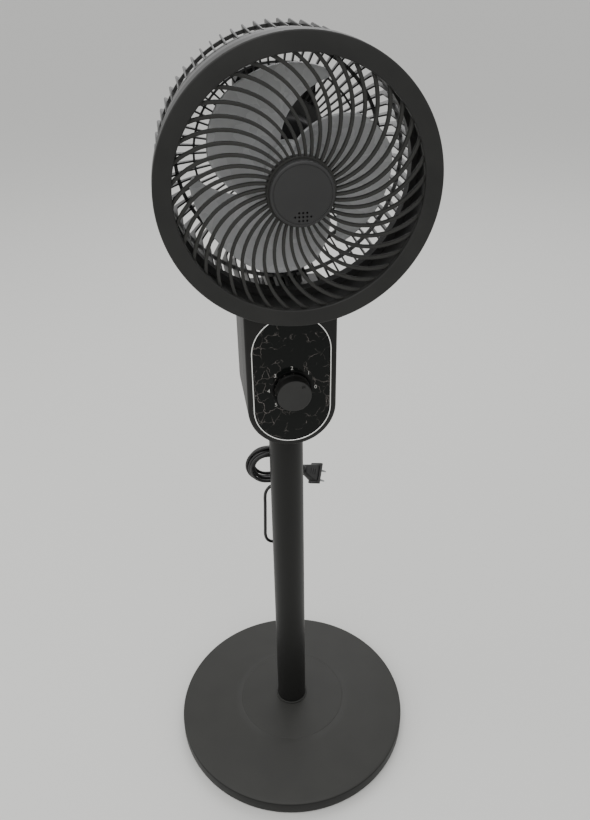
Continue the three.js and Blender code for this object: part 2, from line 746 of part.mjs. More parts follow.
// Neck: a turned foot with a fork on top
function neckMeshes() {
  const shape = new THREE.Shape();
  shape.moveTo(-neckFootLength, neckDiscTop - cutOverrun);
  shape.lineTo(tiltY + neckFootLength / 2, neckDiscTop - cutOverrun);
  shape.lineTo(tiltY + tiltEyeRadius, tiltZ);
  shape.absarc(tiltY, tiltZ, tiltEyeRadius, 0, Math.PI, false);
  shape.closePath();
  shape.fineness = eyeFacets;
  const disc = turnedZ([[0, neckBottom], [neckDiscRadius, neckBottom],
    [neckDiscRadius, neckDiscTop - neckDiscEdge], [neckDiscRadius - neckDiscEdge, neckDiscTop],
    [0, neckDiscTop]], tubeFacets);
  const shaft = turnedZ(discPoints(neckShaftRadius, gearPlateTop + restGap, neckDiscTop), tubeFacets);
  const slot = block(-forkHalfGap, forkHalfGap, tiltY - 2 * neckDiscRadius, tiltY + neckDiscRadius,
    forkFloor, tiltZ + 2 * tiltEyeRadius);
  const wireBore = turnedZ(discPoints(neckShaftBore, gearPlateTop - cutOverrun, tiltZ), tubeFacets);
  const pinHole = turnedX(discPoints(tiltPinRadius + runGap, -neckDiscRadius, neckDiscRadius))
    .translate([0, tiltY, tiltZ]);
  const neck = cutBy(joined(alongX(shape, -neckHalfWidth, neckHalfWidth), disc, shaft),
    slot, wireBore, pinHole);
  const inner = neckShaftRadius + runGap;
  const bushing = turnedZ(ringPoints(inner, inner + bushingWall, turretBottom, turretTop), tubeFacets);
  const ringTop = turretBottom - restGap;
  const ring = turnedZ(ringPoints(inner, neckRingRadius, ringTop - neckRingHeight, ringTop),
    tubeFacets);
  return [part('neck', neck, charcoal()), part('neck_bushing', bushing, bronze()),
    part('neck_ring', ring, zincSteel())];
}

function tiltPinMeshes() {
  const head = -(neckHalfWidth + restGap);
  const nutStart = neckHalfWidth + restGap;
  const end = nutStart + tiltNutHeight;
  const pin = turnedX([[0, head - tiltPinHeadHeight], [tiltPinHeadRadius, head - tiltPinHeadHeight],
    [tiltPinHeadRadius, head], [tiltPinRadius, head], [tiltPinRadius, end], [0, end]]);
  const nut = turnedX(discPoints(tiltNutRadius, nutStart, end), screwFacets)
    .subtract(turnedX(discPoints(tiltPinRadius + runGap, head, end + cutOverrun)));
  const washerStart = tongueHalfWidth + restGap;
  const washer = (side) => turnedX(ringPoints(tiltPinRadius + runGap, washerRadius,
    side * washerStart, side * (washerStart + washerThickness)));
  const meshes = [part('tilt_pin', pin, zincSteel()), part('tilt_nut', nut, zincSteel()),
    part('friction_washer_left', washer(-1), innerBlack()),
    part('friction_washer_right', washer(1), innerBlack())];
  for (const mesh of meshes) mesh.position.set(0, tiltY, tiltZ);
  return meshes;
}

// Pod outline: a tall rounded rectangle about the head's axis, drawn in by a margin
function podShape(margin) {
  const shape = new THREE.Shape();
  const half = podHalfWidth - margin;
  const top = podTop - margin;
  const bottom = podBottom + margin;
  const high = podTopRounding - margin;
  const low = podBottomRounding - margin;
  shape.absarc(half - high, top - high, high, 0, Math.PI / 2, false);
  shape.absarc(-half + high, top - high, high, Math.PI / 2, Math.PI, false);
  shape.absarc(-half + low, bottom + low, low, Math.PI, 1.5 * Math.PI, false);
  shape.absarc(half - low, bottom + low, low, 1.5 * Math.PI, 2 * Math.PI, false);
  shape.closePath();
  shape.lowest = bottom;
  shape.highest = top;
  shape.fineness = podFacets;
  return shape;
}

const motorScrewPlaces = [[-motorScrewCircle, 0], [motorScrewCircle, 0]];

function podMeshes() {
  const shell = alongY(podShape(0), podFront, podParting)
    .subtract(alongY(podShape(podWall), podFront + podWall, podParting + cutOverrun));
  const eyeZ = tiltZ - headZ;
  const shank = block(-tongueHalfWidth, tongueHalfWidth, tiltY - tongueHalfLength,
    tiltY + tongueHalfLength, eyeZ, eyeZ + tongueTop);
  const eye = turnedX(discPoints(tiltEyeRadius, -tongueHalfWidth, tongueHalfWidth), hiddenFacets)
    .translate([0, tiltY, eyeZ]);
  const pinHole = turnedX(discPoints(tiltPinRadius + runGap, -neckDiscRadius, neckDiscRadius))
    .translate([0, tiltY, eyeZ]);
  const shankShown = shank.intersect(block(-tongueHalfWidth, tongueHalfWidth, 0, podParting,
    eyeZ, eyeZ + tongueTop));
  let front = cutBy(joined(shell, shankShown, eye), pinHole,
    turnedY(discPoints(podShaftHole, podFront - cutOverrun, podFront + podWall + cutOverrun)));
  for (const [x, z] of motorScrewPlaces) {
    front = front.subtract(barY(x, z, screwRadius + runGap, podFront - cutOverrun, podParting));
  }
  const rear = roundedAlongY(podShape(0), podParting, podRear, podRearRounding, 2 * podTop)
    .subtract(alongY(podShape(podWall), podParting - cutOverrun, podRear - podWall));
  return [part('pod_front', front, innerBlack()), part('pod_rear', rear, charcoal())];
}

// Front ring, with a flat face and a skirt over the band
function ringMeshes() {
  const ring = [[ringInnerRadius, ringFace + ringEdge], [ringInnerRadius + ringEdge, ringFace],
    [ringOuterRadius - ringEdge, ringFace], [ringOuterRadius, ringFace + ringEdge],
    [ringOuterRadius, ringSkirtEnd],
    [ringSkirtInner, ringSkirtEnd], [ringSkirtInner, ringBack], [ringInnerRadius, ringBack],
    [ringInnerRadius, ringFace + ringEdge]];
  const shoulder = bandSpigotOuter + bandShoulder;
  const band = [[bandSpigotInner, hoopBack], [bandSpigotOuter, hoopBack],
    [bandSpigotOuter, ringSkirtEnd], [shoulder, ringSkirtEnd], [bandRearRadius, bandRear],
    [bandRearRadius - bandWall, bandRear], [bandSpigotInner, hoopBack]];
  return [part('front_ring', turnedY(ring), charcoal()), part('guard_band', turnedY(band), charcoal())];
}

// A strip of stations, each a closed loop of section points, closed by flat ends
function loftSolid(stations) {
  const sides = stations[0].length;
  const positions = stations.flat(2);
  const faces = [];
  const at = (i, k) => i * sides + (k % sides);
  for (let i = 0; i + 1 < stations.length; i += 1) {
    for (let k = 0; k < sides; k += 1) {
      faces.push(at(i, k), at(i, k + 1), at(i + 1, k + 1), at(i, k), at(i + 1, k + 1), at(i + 1, k));
    }
  }
  const last = stations.length - 1;
  for (let k = 1; k + 1 < sides; k += 1) {
    faces.push(at(0, 0), at(0, k + 1), at(0, k), at(last, 0), at(last, k), at(last, k + 1));
  }
  const geometry = new THREE.BufferGeometry();
  geometry.setAttribute('position', new THREE.Float32BufferAttribute(positions, 3));
  geometry.setIndex(faces);
  return solidOf(geometry);
}

const turnedCopies = (solid, count, firstShare = 0) => {
  const copies = [];
  for (let i = 0; i < count; i += 1) {
    copies.push(solid.rotate([0, (i + firstShare) * 360 / count, 0]));
  }
  return joined(...copies);
};

// Grille: swirling ribs between a hub and a hoop that lies behind the front ring
function ribSolid() {
  const start = grilleHubRadius - ribEmbed;
  const end = ringInnerRadius + ribEmbed;
  const place = (t) => {
    const turn = ribPhase + ribTurnLinear * t + ribTurnSquare * t * t;
    const radius = start + (end - start) * t;
    return new THREE.Vector2(radius * Math.cos(turn), radius * Math.sin(turn));
  };
  const stations = [];
  for (let i = 0; i <= ribSteps; i += 1) {
    const t = i / ribSteps;
    const ahead = place(Math.min(t + 1 / ribSteps / 2, 1));
    const along = ahead.sub(place(Math.max(t - 1 / ribSteps / 2, 0))).normalize();
    const middle = place(t);
    const half = (ribInnerWidth + (ribOuterWidth - ribInnerWidth) * t) / 2;
    const depth = ribInnerDepth + (ribOuterDepth - ribInnerDepth) * t;
    const front = ringFace + ribHubSetback + ribRimSetback * t * t;
    const corner = (side, y) => [middle.x - along.y * side * half, y, middle.y + along.x * side * half];
    stations.push([corner(-1, front + depth), corner(-1, front), corner(1, front),
      corner(1, front + depth)]);
  }
  return loftSolid(stations);
}

function grilleMeshes() {
  const hub = turnedY(discPoints(grilleHubRadius, ringFace, ringFace + grilleHubDepth), ribCount,
    Math.PI / ribCount - ribPhase);
  const hoop = turnedY(ringPoints(ringInnerRadius + restGap, bandSpigotOuter, ringBack, hoopBack));
  const grille = joined(hub, hoop, turnedCopies(ribSolid(), ribCount));
  const capFront = ringFace - hubCapProud;
  const cap = turnedY([[0, capFront - hubCapDome], [hubCapRadius - hubCapEdge, capFront],
    [hubCapRadius, capFront + hubCapEdge], [hubCapRadius, ringFace], [0, ringFace]]);
  return [part('front_grille', grille, charcoal()), part('hub_cap', cap, charcoal())];
}

// Rear guard: thin fins that run back along a drum and in over its domed rear
function finSolid() {
  const crest = domeRear;
  const outer = [[bandRear + guardRimDepth / 2, drumRadius], [crest - drumEndDrop, drumRadius],
    [crest - cornerDrop, drumRadius - cornerInset], [crest - domeDrop, drumRadius - domeInset],
    [crest, guardDiscRadius - finEmbed]].map(([y, r]) => new THREE.Vector2(y, r));
  const inner = outer.map((point, i) => {
    const before = outer[Math.max(i - 1, 0)];
    const after = outer[Math.min(i + 1, outer.length - 1)];
    const along = after.clone().sub(before).normalize();
    const inward = new THREE.Vector2(along.y, -along.x);
    return point.clone().addScaledVector(inward, finDepth * finDepthShares[i]);
  });
  return alongX(new THREE.Shape([...outer, ...inner.reverse()]), -finThickness / 2, finThickness / 2);
}

// The rim plugs into the band and steps out to the band's width behind a narrow gap
function rearGuardMesh() {
  const rimInner = bandRearRadius - guardRimInset;
  const neckRadius = bandRearRadius - guardNeckInset;
  const spigotFront = bandRear - guardSpigotDepth;
  const hoopFront = bandRear + guardNeckDepth;
  const hoopRear = bandRear + guardRimDepth;
  const rim = turnedY([[rimInner, spigotFront], [neckRadius, spigotFront], [neckRadius, hoopFront],
    [bandRearRadius, hoopFront], [bandRearRadius, hoopRear], [rimInner, hoopRear],
    [rimInner, spigotFront]]);
  let disc = turnedY(ringPoints(guardDiscBore, guardDiscRadius, guardDiscFront, podFront));
  for (const [x, z] of motorScrewPlaces) {
    disc = disc.subtract(barY(x, z, screwRadius + runGap, guardDiscFront - cutOverrun,
      podFront + cutOverrun));
  }
  const guard = joined(rim, disc, turnedCopies(finSolid(), finCount, finFirstShare));
  return part('rear_guard', guard, charcoal());
}

// Motor
function motorMeshes() {
  const motorRear = guardDiscFront;
  const boss = bearingRadius + motorWall;
  const seat = bearingRadius + runGap;
  const hole = shaftRadius + restGap;
  const cover = (end, parting, inward) => turnedY([[hole, end], [motorRadius - motorEdge, end],
    [motorRadius, end + inward * motorEdge], [motorRadius, parting],
    [motorRadius - motorWall, parting], [motorRadius - motorWall, end + inward * motorEdge],
    [boss, end + inward * motorWall],
    [boss, end + inward * (motorWall + bearingBoreWidth)],
    [seat, end + inward * (motorWall + bearingBoreWidth)], [seat, end + inward * motorWall],
    [hole, end + inward * motorWall], [hole, end]], motorFacets);
  let rearCover = cover(motorRear, motorParting, -1);
  for (const [x, z] of motorScrewPlaces) {
    rearCover = rearCover.subtract(barY(x, z, screwRadius + runGap,
      motorRear - motorWall - cutOverrun, motorRear + cutOverrun));
  }
  const bearing = (start) => turnedY(ringPoints(shaftRadius + runGap, bearingRadius,
    start, start + bearingWidth), smallFacets);
  const frontSeat = motorFront + motorWall;
  const rearSeat = motorRear - motorWall - bearingWidth;
  const stator = turnedY(ringPoints(statorInnerRadius, statorOuterRadius,
    motorParting - statorHalfLength, motorParting + statorHalfLength), hiddenFacets);
  const rotor = turnedY(ringPoints(shaftRadius + runGap / 2, rotorRadius,
    motorParting - statorHalfLength, motorParting + statorHalfLength), hiddenFacets);
  const shaft = turnedY(discPoints(shaftRadius, shaftFront, shaftRear), smallFacets);
  const screws = motorScrewPlaces.map(([x, z], i) => {
    const under = podFront + podWall;
    const screw = turnedY([[0, under - motorScrewLength], [screwRadius, under - motorScrewLength],
      [screwRadius, under], [screwHeadRadius, under], [screwHeadRadius, under + screwHeadHeight],
      [0, under + screwHeadHeight]], screwFacets).translate([x, 0, z]);
    return part(`motor_screw_${i + 1}`, screw, zincSteel());
  });
  return [part('motor_front_cover', cover(motorFront, motorParting, 1), innerBlack()),
    part('motor_rear_cover', rearCover, innerBlack()),
    part('stator_core', stator, darkSteel()), part('rotor', rotor, zincSteel()),
    part('motor_shaft', shaft, zincSteel()),
    part('bearing_front', bearing(frontSeat), zincSteel()),
    part('bearing_rear', bearing(rearSeat), zincSteel()), ...screws];
}

// One blade: a swept, twisted sheet from its rear leading edge to its front trailing edge
function bladeSolid() {
  const root = impellerHubRadius - bladeEmbed;
  const tipAt = (c) => {
    const trail = Math.max(0, 1 - c / bladeCornerShare);
    const lead = Math.max(0, 1 - (1 - c) / bladeLeadShare);
    return bladeTipRadius - bladeCornerDrop * trail * trail - bladeLeadDrop * lead * lead;
  };
  const surface = (c, s) => {
    const radius = root + (tipAt(c) - root) * s;
    const inward = (bladeTipRadius - radius) / (bladeTipRadius - root);
    const trail = bladeTrailAngle + bladeTrailSweep * inward;
    const lead = bladeLeadAngle + bladeLeadSweep * inward;
    const angle = trail + (lead - trail) * c;
    const y = bladeFront + (bladeRear - bladeFront) * c;
    return new THREE.Vector3(radius * Math.cos(angle), y, radius * Math.sin(angle));
  };
  const small = 1 / bladeChordSteps / 4;
  const offset = (c, s, side) => {
    const alongChord = surface(c + small, s).sub(surface(c - small, s));
    const alongSpan = surface(c, s + small).sub(surface(c, s - small));
    const normal = alongChord.cross(alongSpan).normalize();
    return surface(c, s).addScaledVector(normal, side * bladeThickness / 2).toArray();
  };
  const stations = [];
  for (let i = 0; i <= bladeChordSteps; i += 1) {
    const c = i / bladeChordSteps;
    const section = [];
    for (let k = 0; k <= bladeSpanSteps; k += 1) section.push(offset(c, k / bladeSpanSteps, 1));
    for (let k = bladeSpanSteps; k >= 0; k -= 1) section.push(offset(c, k / bladeSpanSteps, -1));
    stations.push(section);
  }
  return bladeLoft(stations);
}

// As loftSolid, but its thin ends are closed by strips across the sheet
function bladeLoft(stations) {
  const sides = stations[0].length;
  const faces = [];
  const at = (i, k) => i * sides + (k % sides);
  for (let i = 0; i + 1 < stations.length; i += 1) {
    for (let k = 0; k < sides; k += 1) {
      faces.push(at(i, k), at(i, k + 1), at(i + 1, k + 1), at(i, k), at(i + 1, k + 1), at(i + 1, k));
    }
  }
  const last = stations.length - 1;
  for (let k = 0; k + 1 < sides / 2; k += 1) {
    const across = sides - 1 - k;
    faces.push(at(0, k), at(0, across), at(0, k + 1), at(0, k + 1), at(0, across), at(0, across - 1));
    faces.push(at(last, k), at(last, k + 1), at(last, across));
    faces.push(at(last, k + 1), at(last, across - 1), at(last, across));
  }
  const geometry = new THREE.BufferGeometry();
  geometry.setAttribute('position', new THREE.Float32BufferAttribute(stations.flat(2), 3));
  geometry.setIndex(faces);
  return solidOf(geometry);
}

function impellerMeshes() {
  const hole = shaftRadius + runGap;
  const inner = impellerHubRadius - impellerHubWall;
  const wallFront = impellerHubFront + impellerHubWall;
  const hub = turnedY([[hole, impellerHubFront], [impellerHubRadius - impellerHubEdge, impellerHubFront],
    [impellerHubRadius, impellerHubFront + impellerHubEdge], [impellerHubRadius, impellerHubRear],
    [inner, impellerHubRear], [inner, impellerHubFront + impellerHubEdge],
    [inner - impellerHubWall, wallFront], [impellerBossRadius, wallFront],
    [impellerBossRadius, impellerBossRear], [hole, impellerBossRear], [hole, impellerHubFront]],
  tubeFacets);
  const impeller = joined(hub, turnedCopies(bladeSolid(), bladeCount));
  const capSeat = impellerHubFront - restGap;
  const nutBore = shaftRadius + runGap;
  const nut = turnedY([[0, spinnerFront], [spinnerRadius / 2, spinnerFront],
    [spinnerRadius, spinnerFront + spinnerRadius / 2], [spinnerRadius, capSeat], [nutBore, capSeat],
    [nutBore, shaftFront - restGap], [0, shaftFront - restGap]], smallFacets);
  return [part('impeller', impeller, smoke()), part('impeller_nut', nut, innerBlack())];
}

// Mains lead
function coilPath() {
  const points = [];
  const total = coilWholeTurns * coilSteps + coilEndStep - coilStartStep;
  const arcSteps = (coilSteps - 4) / 2;
  for (let i = 0; i <= total; i += 1) {
    const turns = i / coilSteps;
    const period = spiralTurnsShare + climbTurnsShare;
    const layer = Math.min(Math.floor(turns / period), coilLayers - 1);
    const into = turns - layer * period;
    const wound = Math.min(into, spiralTurnsShare);
    const climbed = Math.max(0, into - spiralTurnsShare) / climbTurnsShare;
    const inwards = layer % 2 === 0;
    const radius = inwards ? coilOuterRadius - wound * coilPitch : coilInnerRadius + wound * coilPitch;
    const climb = layer < coilLayers - 1 ? climbed : 0;
    const y = coilRearY - (layer + climb) * coilLayerStep;
    const step = (i + coilStartStep) % coilSteps;
    const half = coilRun / 2;
    let x = 0;
    let z = 0;
    if (step <= 1) {
      x = half * step;
      z = radius;
    } else if (step <= 1 + arcSteps) {
      const turn = Math.PI / 2 - Math.PI * (step - 1) / arcSteps;
      x = half + radius * Math.cos(turn);
      z = radius * Math.sin(turn);
    } else if (step <= 3 + arcSteps) {
      x = half * (2 + arcSteps - step);
      z = -radius;
    } else if (step <= 3 + 2 * arcSteps) {
      const turn = -Math.PI / 2 - Math.PI * (step - 3 - arcSteps) / arcSteps;
      x = -half + radius * Math.cos(turn);
      z = radius * Math.sin(turn);
    } else {
      x = half * (step - coilSteps);
      z = radius;
    }
    points.push(new THREE.Vector3(coilX + x, y, coilZ + z));
  }
  return points;
}

// Adds a straight end of the given length to a path, before its start or after its end
function straightEnd(points, length, atStart) {
  const [tip, next] = atStart ? [points[0], points[1]] : [points.at(-1), points.at(-2)];
  const out = tip.clone().sub(next).normalize();
  const added = tip.clone().addScaledVector(out, length);
  return atStart ? [added, ...points] : [...points, added];
}

function tubeAlong(points, radius, sides, steps) {
  const curve = new THREE.CatmullRomCurve3(points, false, 'centripetal');
  curve.arcLengthDivisions = points.length * arcFacets;
  const section = new THREE.Shape();
  for (let k = 0; k < sides; k += 1) {
    const turn = k / sides * 2 * Math.PI;
    const point = [radius * Math.cos(turn), radius * Math.sin(turn)];
    if (k === 0) section.moveTo(...point);
    else section.lineTo(...point);
  }
  section.closePath();
  const body = new THREE.ExtrudeGeometry(section, { steps, extrudePath: curve, bevelEnabled: false });
  return { solid: solidOf(body), length: curve.getLength() };
}

// The least gap between stretches of one tube that are more than a few diameters apart along it
function leastSelfGap(points, radius) {
  let least = Infinity;
  const apart = Math.round(coilSteps / 3);
  const dense = new THREE.CatmullRomCurve3(points, false, 'centripetal').getPoints(points.length * 4);
  for (let i = 0; i < dense.length; i += 1) {
    for (let k = i + apart * 4; k < dense.length; k += 1) {
      least = Math.min(least, dense[i].distanceTo(dense[k]));
    }
  }
  return least - 2 * radius;
}

function cordMeshes() {
  const gland = turnedZ([[0, glandBottom - glandTaperLength],
    [glandTaperEnd, glandBottom - glandTaperLength], [glandTaperTop, glandBottom],
    [glandFlangeRadius, glandBottom], [glandFlangeRadius, glandBottom + glandFlangeHeight],
    [glandNeckRadius, glandBottom + glandFlangeHeight],
    [glandNeckRadius, housingBottom + housingWall + glandInnerHeight],
    [0, housingBottom + housingWall + glandInnerHeight]], smallFacets).translate([0, glandY, 0]);
  const coil = straightEnd(straightEnd(coilPath(), cordDiameter, true), cordDiameter, false);
  const coilTube = tubeAlong(coil, cordRadius, coilSides, coil.length - 1);
  const leadStart = new THREE.Vector3(0, glandY, glandBottom - glandTaperLength - restGap);
  const lead = [leadStart, ...leadRoute.map((p) => new THREE.Vector3(...p)),
    ...straightEnd(straightEnd(coil, restGap, true), cordDiameter, true).slice(0, 2)];
  const tailStart = straightEnd(straightEnd(coil, restGap, false), cordDiameter / 2, false).slice(-2);
  const plugAxis = new THREE.Vector3(Math.cos(plugSlope) * Math.cos(plugYaw),
    Math.cos(plugSlope) * Math.sin(plugYaw), -Math.sin(plugSlope));
  const plugPoint = new THREE.Vector3(...plugStart).addScaledVector(plugAxis, -restGap);
  const plugBefore = plugPoint.clone().addScaledVector(plugAxis, -cordDiameter / 2);
  const tail = [...tailStart, ...tailRoute.map((p) => new THREE.Vector3(...p)), plugBefore, plugPoint];
  const lengthOf = (points) => new THREE.CatmullRomCurve3(points, false, 'centripetal').getLength();
  const leadTube = tubeAlong(lead, cordRadius, cordSides, Math.ceil(lengthOf(lead) / cordStep * 2));
  const tailTube = tubeAlong(tail, cordRadius, cordSides, Math.ceil(lengthOf(tail) / cordStep));
  const whole = leadTube.length + coilTube.length + tailTube.length;
  const leastGap = leastSelfGap(coil, cordRadius);
  console.log(`lead ${whole.toFixed(0)} mm, least gap in its coil ${leastGap.toFixed(2)} mm`);
  return [part('cord_gland', gland, softRubber()), part('cord_lead', leadTube.solid, cordBlack()),
    part('cord_coil', coilTube.solid, cordBlack()), part('cord_tail', tailTube.solid, cordBlack()),
    tieMesh()];
}

// The tie goes round the coil's upper run, where it hangs
function tieMesh() {
  const shape = new THREE.Shape();
  const outline = (path, grow) => {
    const front = coilFrontY - cordRadius - grow;
    const rear = coilRearY + cordRadius + grow;
    const low = coilZ + coilInnerRadius - cordRadius - grow;
    const high = coilZ + coilOuterRadius + cordRadius + grow;
    path.moveTo(front, low);
    path.lineTo(rear, low);
    path.lineTo(rear, high);
    path.lineTo(front, high);
    path.closePath();
    return path;
  };
  outline(shape, tieGap + tieThickness);
  shape.holes.push(outline(new THREE.Path(), tieGap));
  const tie = alongX(shape, coilX - tieWidth / 2, coilX + tieWidth / 2);
  return part('cord_tie', tie, softRubber());
}

// Plug, drawn along its own +X: boot, wedge body, flange and two flat pins
function plugGroup() {
  const bodyStart = plugBootLength;
  const bodyEnd = bodyStart + plugBodyLength;
  const flangeEnd = bodyEnd + plugFlangeLength;
  const frame = (x, halfWidth, halfHeight) => [[x, -halfWidth, -halfHeight],
    [x, halfWidth, -halfHeight], [x, halfWidth, halfHeight], [x, -halfWidth, halfHeight]];
  const wedge = loftSolid([frame(bodyStart, plugNeckHalfWidth, plugNeckHalfHeight),
    frame(bodyEnd, plugBodyHalfWidth, plugBodyHalfHeight)]);
  const flange = block(bodyEnd - plugFlangeLength / 4, flangeEnd, -plugFlangeHalfWidth,
    plugFlangeHalfWidth, -plugFlangeHalfHeight, plugFlangeHalfHeight);
  const bootEnd = bodyStart + plugNeckHalfHeight;
  const boot = turnedX([[0, 0], [plugBootStart, 0], [plugBootEnd, bootEnd], [0, bootEnd]]);
  let body = joined(wedge, flange, boot);
  const pins = [-1, 1].map((side) => {
    const y = side * pinSpacing / 2;
    const seat = flangeEnd - pinSeatDepth;
    body = body.subtract(block(seat, flangeEnd + cutOverrun, y - pinHalfThickness - restGap,
      y + pinHalfThickness + restGap, -pinHalfWidth - restGap, pinHalfWidth + restGap));
    const pin = block(seat + restGap, flangeEnd + pinLength, y - pinHalfThickness,
      y + pinHalfThickness, -pinHalfWidth, pinHalfWidth);
    return part(side < 0 ? 'plug_pin_left' : 'plug_pin_right', pin, zincSteel());
  });
  const group = new THREE.Group();
  group.add(part('plug_body', body, cordBlack()), ...pins);
  group.position.set(...plugStart);
  const yaw = new THREE.Quaternion().setFromAxisAngle(new THREE.Vector3(0, 0, 1), plugYaw);
  const slope = new THREE.Quaternion().setFromAxisAngle(new THREE.Vector3(0, 1, 0), plugSlope);
  const stand = new THREE.Quaternion().setFromAxisAngle(new THREE.Vector3(1, 0, 0),
    Math.PI / 2 - plugRoll);
  group.quaternion.copy(yaw).multiply(slope).multiply(stand);
  return group;
}

const head = new THREE.Group();
head.position.z = headZ;
head.add(...ringMeshes(), ...grilleMeshes(), rearGuardMesh(), ...podMeshes(), ...motorMeshes(),
  ...impellerMeshes());

const fan = new THREE.Group();
fan.add(...footMeshes(), ...columnMeshes(), housingFrontMesh(), housingRearMesh(),
  ...housingScrewMeshes(), ...panelMeshes(), ...knobMeshes(), ...driveMeshes(), ...neckMeshes(),
  ...tiltPinMeshes(), ...cordMeshes(), plugGroup(), head);

export default fan;
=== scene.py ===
import math
import bmesh
import bpy
from mathutils import Euler, Matrix, Vector


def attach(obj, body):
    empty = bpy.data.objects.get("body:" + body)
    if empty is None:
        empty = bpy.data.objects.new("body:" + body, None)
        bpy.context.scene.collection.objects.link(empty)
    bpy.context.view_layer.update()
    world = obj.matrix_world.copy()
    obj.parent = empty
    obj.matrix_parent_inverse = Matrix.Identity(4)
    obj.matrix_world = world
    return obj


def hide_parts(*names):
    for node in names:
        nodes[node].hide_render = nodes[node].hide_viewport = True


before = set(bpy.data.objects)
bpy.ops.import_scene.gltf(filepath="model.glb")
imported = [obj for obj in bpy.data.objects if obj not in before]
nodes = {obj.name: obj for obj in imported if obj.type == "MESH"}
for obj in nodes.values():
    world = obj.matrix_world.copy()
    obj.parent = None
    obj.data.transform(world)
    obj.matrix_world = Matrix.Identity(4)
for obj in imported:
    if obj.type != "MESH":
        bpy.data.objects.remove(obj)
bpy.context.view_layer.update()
mm = 0.001


# Shared helpers

def hexToLinear(hexColour):
    channels = []
    for i in (0, 2, 4):
        c = int(hexColour[i:i + 2], 16) / 255
        channels.append(c / 12.92 if c <= 0.04045 else ((c + 0.055) / 1.055) ** 2.4)
    return (*channels, 1.0)


def scaledColour(hexColour, *factors):
    # a colour whose red, green and blue are each scaled
    return (*(c * k for c, k in zip(hexToLinear(hexColour), factors)), 1.0)


def addNode(tree, kind, values=None, links=None, **settings):
    node = tree.nodes.new(kind)
    for key, value in settings.items():
        setattr(node, key, value)
    for socket, value in (values or {}).items():
        node.inputs[socket].default_value = value
    for socket, source in (links or {}).items():
        tree.links.new(source, node.inputs[socket])
    return node


def newMaterial(name, **shaderValues):
    # an underscore in a value's name stands for the space in the shader's socket
    material = bpy.data.materials.new(name)
    material.use_nodes = True
    tree = material.node_tree
    shader = tree.nodes["Principled BSDF"]
    for socket, value in shaderValues.items():
        shader.inputs[socket.replace("_", " ")].default_value = value
    coords = addNode(tree, "ShaderNodeTexCoord")
    inMm = addNode(tree, "ShaderNodeVectorMath", {"Scale": 1000.0},
                   {0: coords.outputs["Object"]}, operation="SCALE")
    return material, tree, shader, inMm.outputs["Vector"]


def applyPattern(tree, shader, pattern, tones=None, tonesAt=(0.0, 1.0), roughness=None, relief=None):
    # a pattern's low and high ends set two linear colours and two roughnesses; its relief is a
    # strength and a height in mm
    if tones:
        tone = addNode(tree, "ShaderNodeValToRGB", links={"Fac": pattern})
        for stop, place, colour in zip(tone.color_ramp.elements, tonesAt, tones):
            stop.position = place
            stop.color = colour
        tree.links.new(tone.outputs["Color"], shader.inputs["Base Color"])
    if roughness:
        gloss = addNode(tree, "ShaderNodeMapRange", {"To Min": roughness[0], "To Max": roughness[1]},
                        {"Value": pattern})
        tree.links.new(gloss.outputs["Result"], shader.inputs["Roughness"])
    if relief:
        bump = addNode(tree, "ShaderNodeBump", {"Strength": relief[0], "Distance": relief[1] * mm},
                       {"Height": pattern})
        tree.links.new(bump.outputs["Normal"], shader.inputs["Normal"])


def makeActive(obj):
    bpy.ops.object.select_all(action="DESELECT")
    obj.select_set(True)
    bpy.context.view_layer.objects.active = obj


def applyPlace(obj):
    makeActive(obj)
    bpy.ops.object.transform_apply(location=True, rotation=True, scale=True)


def placeAt(obj, at):
    obj.location = [c * mm for c in at]
    applyPlace(obj)


def addModifier(obj, kind, **settings):
    makeActive(obj)
    modifier = obj.modifiers.new(kind.lower(), kind)
    for key, value in settings.items():
        setattr(modifier, key, value)
    bpy.ops.object.modifier_apply(modifier=modifier.name)


def softenEdges(obj, widthMm, segments=3, angle=35):
    addModifier(obj, "BEVEL", width=widthMm * mm, segments=segments, limit_method="ANGLE",
                angle_limit=math.radians(angle), use_clamp_overlap=True)


def outwardNormals(obj):
    makeActive(obj)
    bpy.ops.object.mode_set(mode="EDIT")
    bpy.ops.mesh.select_all(action="SELECT")
    bpy.ops.mesh.remove_doubles(threshold=0.000002)
    bpy.ops.mesh.normals_make_consistent(inside=False)
    bpy.ops.object.mode_set(mode="OBJECT")


def selectVerts(obj, test):
    # leaves the piece in edit mode, with only the wanted vertices selected
    makeActive(obj)
    bpy.ops.object.mode_set(mode="EDIT")
    bpy.ops.mesh.select_mode(type="VERT")
    bpy.ops.mesh.select_all(action="DESELECT")
    edit = bmesh.from_edit_mesh(obj.data)
    for vert in edit.verts:
        if test(vert.co):
            vert.select = True
    edit.select_flush(True)
    bmesh.update_edit_mesh(obj.data)


def pushOut(obj, move):
    # extrudes the whole piece by a move in mm; the new face stays selected
    makeActive(obj)
    bpy.ops.object.mode_set(mode="EDIT")
    bpy.ops.mesh.select_all(action="SELECT")
    bpy.ops.mesh.extrude_region_move(TRANSFORM_OT_translate={"value": [c * mm for c in move]})
    bpy.ops.object.mode_set(mode="OBJECT")


turnFor = {"Z": (0, 0, 0), "Y": (-math.pi / 2, 0, 0), "X": (0, math.pi / 2, 0)}


